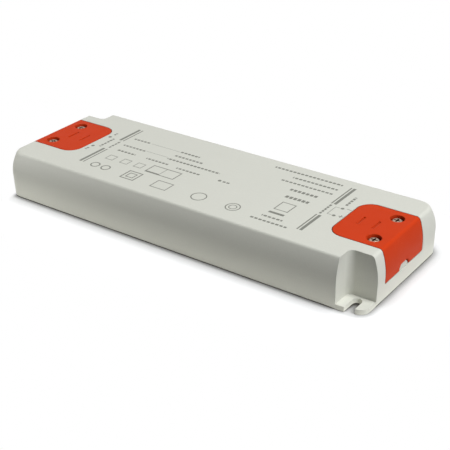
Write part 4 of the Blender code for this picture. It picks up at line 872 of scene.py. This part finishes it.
# %% Lay the floor
FLOOR_WIDTH = 6.0
FLOOR_GAP = 0.05 * MM
FLOOR_BOUNCE = (0.957, 0.945, 0.90)
FAR_BOUNCE = (0.10, 0.10, 0.10)
BRIGHT_PAPER = (10 * MM, 26 * MM)   # distances from the case over which the strip ends
SHADOW_FADE = (8 * MM, 30 * MM)     # distances over which the shadow ends
INPUT_END_FADE = 4.0                # metres of fade for each metre past the input end
CORNER_FADE = 6.0                   # the same, from inside the corners of that end
CORNER_ZONE = (20 * MM, 27 * MM)
FOOT_CORNER = 5.5 * MM
CONTACT_REACH = 10 * MM
CONTACT_RAYS = 24
DEEPEST_SKY = 0.45                  # open sky right beside the wall
CONTACT_CURVE = 0.50
FOOT_REACH = 2.5 * MM
FOOT_SHARE = 0.72
CONTACT_SHADE = (0.05, 0.048, 0.042)
WHITE = (1.0, 1.0, 1.0)


def eye_rays(net):
    """1 for what the camera sees, straight or in a shiny surface."""
    path = net.node("ShaderNodeLightPath")
    return net.any_of([path["Is Camera Ray"], path["Is Glossy Ray"], path["Is Transmission Ray"]])


def past(place, edge):
    """How far a place lies beyond an edge, and 0 before it."""
    return place.net.maths("MAXIMUM", place - edge, 0.0)


def away_from_foot(x, y):
    """How far a point of the floor lies from the foot of the case, whose corners are round."""
    past_end = past(abs(x), case_high.x - FOOT_CORNER)
    past_side = past(abs(y), case_high.y - FOOT_CORNER)
    return past((past_end * past_end + past_side * past_side) ** 0.5, FOOT_CORNER)


def fades_sooner(x, y):
    """How much sooner the shadow fades past the input end and round its corners."""
    toward_input = -1 * x
    past_input = past(toward_input, case_high.x)
    past_corner = past(toward_input, case_high.x - FOOT_CORNER)
    return past_input * INPUT_END_FADE + past_corner * abs(y).ramp(*CORNER_ZONE) * CORNER_FADE


def floor_finish():
    """White paper for the eye and a bright strip for the light, in place of one plain shader."""
    look = Finish("studio_floor")
    look.tree.nodes.remove(look.shader)
    x, y, _ = look.axes()
    away = away_from_foot(x, y)
    paper = look.mix(away.ramp(*BRIGHT_PAPER), FLOOR_BOUNCE, FAR_BOUNCE)
    bounced = look.node("ShaderNodeBsdfDiffuse", None, {"Color": paper})["BSDF"]
    sky_share = (look.open_sky(CONTACT_REACH, CONTACT_RAYS) - DEEPEST_SKY) / (1 - DEEPEST_SKY)
    openness = sky_share ** CONTACT_CURVE * away.ramp(0.0, FOOT_REACH, FOOT_SHARE, 1.0)
    # Painted shadow: the paper is coloured darker where little sky is open and close to the foot.
    contact = look.mix(openness, CONTACT_SHADE, WHITE)
    shaded = look.node("ShaderNodeBsdfDiffuse", None, {"Color": contact})["BSDF"]
    plain = look.node("ShaderNodeEmission", None, {"Color": WHITE, "Strength": 1.0})["Emission"]
    faded = (away + fades_sooner(x, y)).ramp(*SHADOW_FADE)
    seen = look.node("ShaderNodeMixShader", None, {0: faded, 1: shaded, 2: plain})[0]
    chosen = look.node("ShaderNodeMixShader", None, {0: eye_rays(look), 1: bounced, 2: seen})[0]
    look.feed(look.tree.nodes["Material Output"].inputs["Surface"], chosen)
    return look.material


def lay_floor():
    """A wide plane just under the case, which belongs to the studio and not to the part."""
    bpy.ops.mesh.primitive_plane_add(size=FLOOR_WIDTH, location=(0.0, 0.0, -FLOOR_GAP))
    floor = bpy.context.object
    floor.name = "studio_floor"
    floor.data.materials.append(floor_finish())
    floor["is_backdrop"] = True


lay_floor()
print("floor width in m:", FLOOR_WIDTH)

# %% [markdown]
# ## Light
#
# One large soft lamp would show every shape, but a catalogue picture tells its faces apart by light.
# Here the lid and the end face get nearly the same light and the long side about half of it, so two
# large lamps stand above and past the output end. The long side is lighter toward the input end,
# where a small card stands close by. The end lamp is a little cooler than the others, so that faces
# differ in tint too. The white backdrop is the world as the eye sees it, and it hardly lights anything.

# %% Light the studio
SKY = 0.03
COOL_WHITE = (0.975, 0.99, 1.035)
SOFTBOXES = {                   # azimuth and elevation, size and distance, power in watts, tint
    "overhead_softbox": ((102.0, 80.0), 0.3, 1.6, 15.4, WHITE),
    "end_softbox": ((87.0, 38.0), 0.7, 1.2, 10.1, COOL_WHITE),
    "left_card": ((-57.0, 11.0), 0.09, 0.243, 0.122, WHITE),
}


def studio_world():
    world = bpy.data.worlds.new("studio")
    world.use_nodes = True
    bpy.context.scene.world = world
    net = Net(world.node_tree)
    backdrop = net.tree.nodes["Background"]
    net.feed(backdrop.inputs["Color"], WHITE)
    seen = eye_rays(net)
    net.feed(backdrop.inputs["Strength"], seen + (1 - seen) * SKY)


def softbox(name, azimuth, elevation, size, distance, power, tint):
    """A square lamp that faces the origin, which lies under the middle of the case."""
    lamp = bpy.data.objects.new(name, bpy.data.lights.new(name, "AREA"))
    lamp.data.size = size
    lamp.data.energy = power
    lamp.data.color = tint
    turn = aim(math.radians(azimuth), math.radians(elevation))
    lamp.matrix_world = turn.to_4x4()
    lamp.location = turn @ Vector((0.0, 0.0, distance))
    bpy.context.scene.collection.objects.link(lamp)


studio_world()
for name, ((azimuth, elevation), *sizes) in SOFTBOXES.items():
    softbox(name, azimuth, elevation, *sizes)
print("sky strength:", SKY, "lamps:", len(SOFTBOXES))

# %% [markdown]
# ## Check the size
#
# Last, the box of everything shown is set against the box of the CAD model, and how far it grew
# is printed. They should be the same, because nothing was added outside it.

# %% Print how far the boxes differ
shown_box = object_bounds()
print("grown by mm:", [round((a - b) / MM, 3) for a, b in zip(shown_box[1], cad_box[1])])
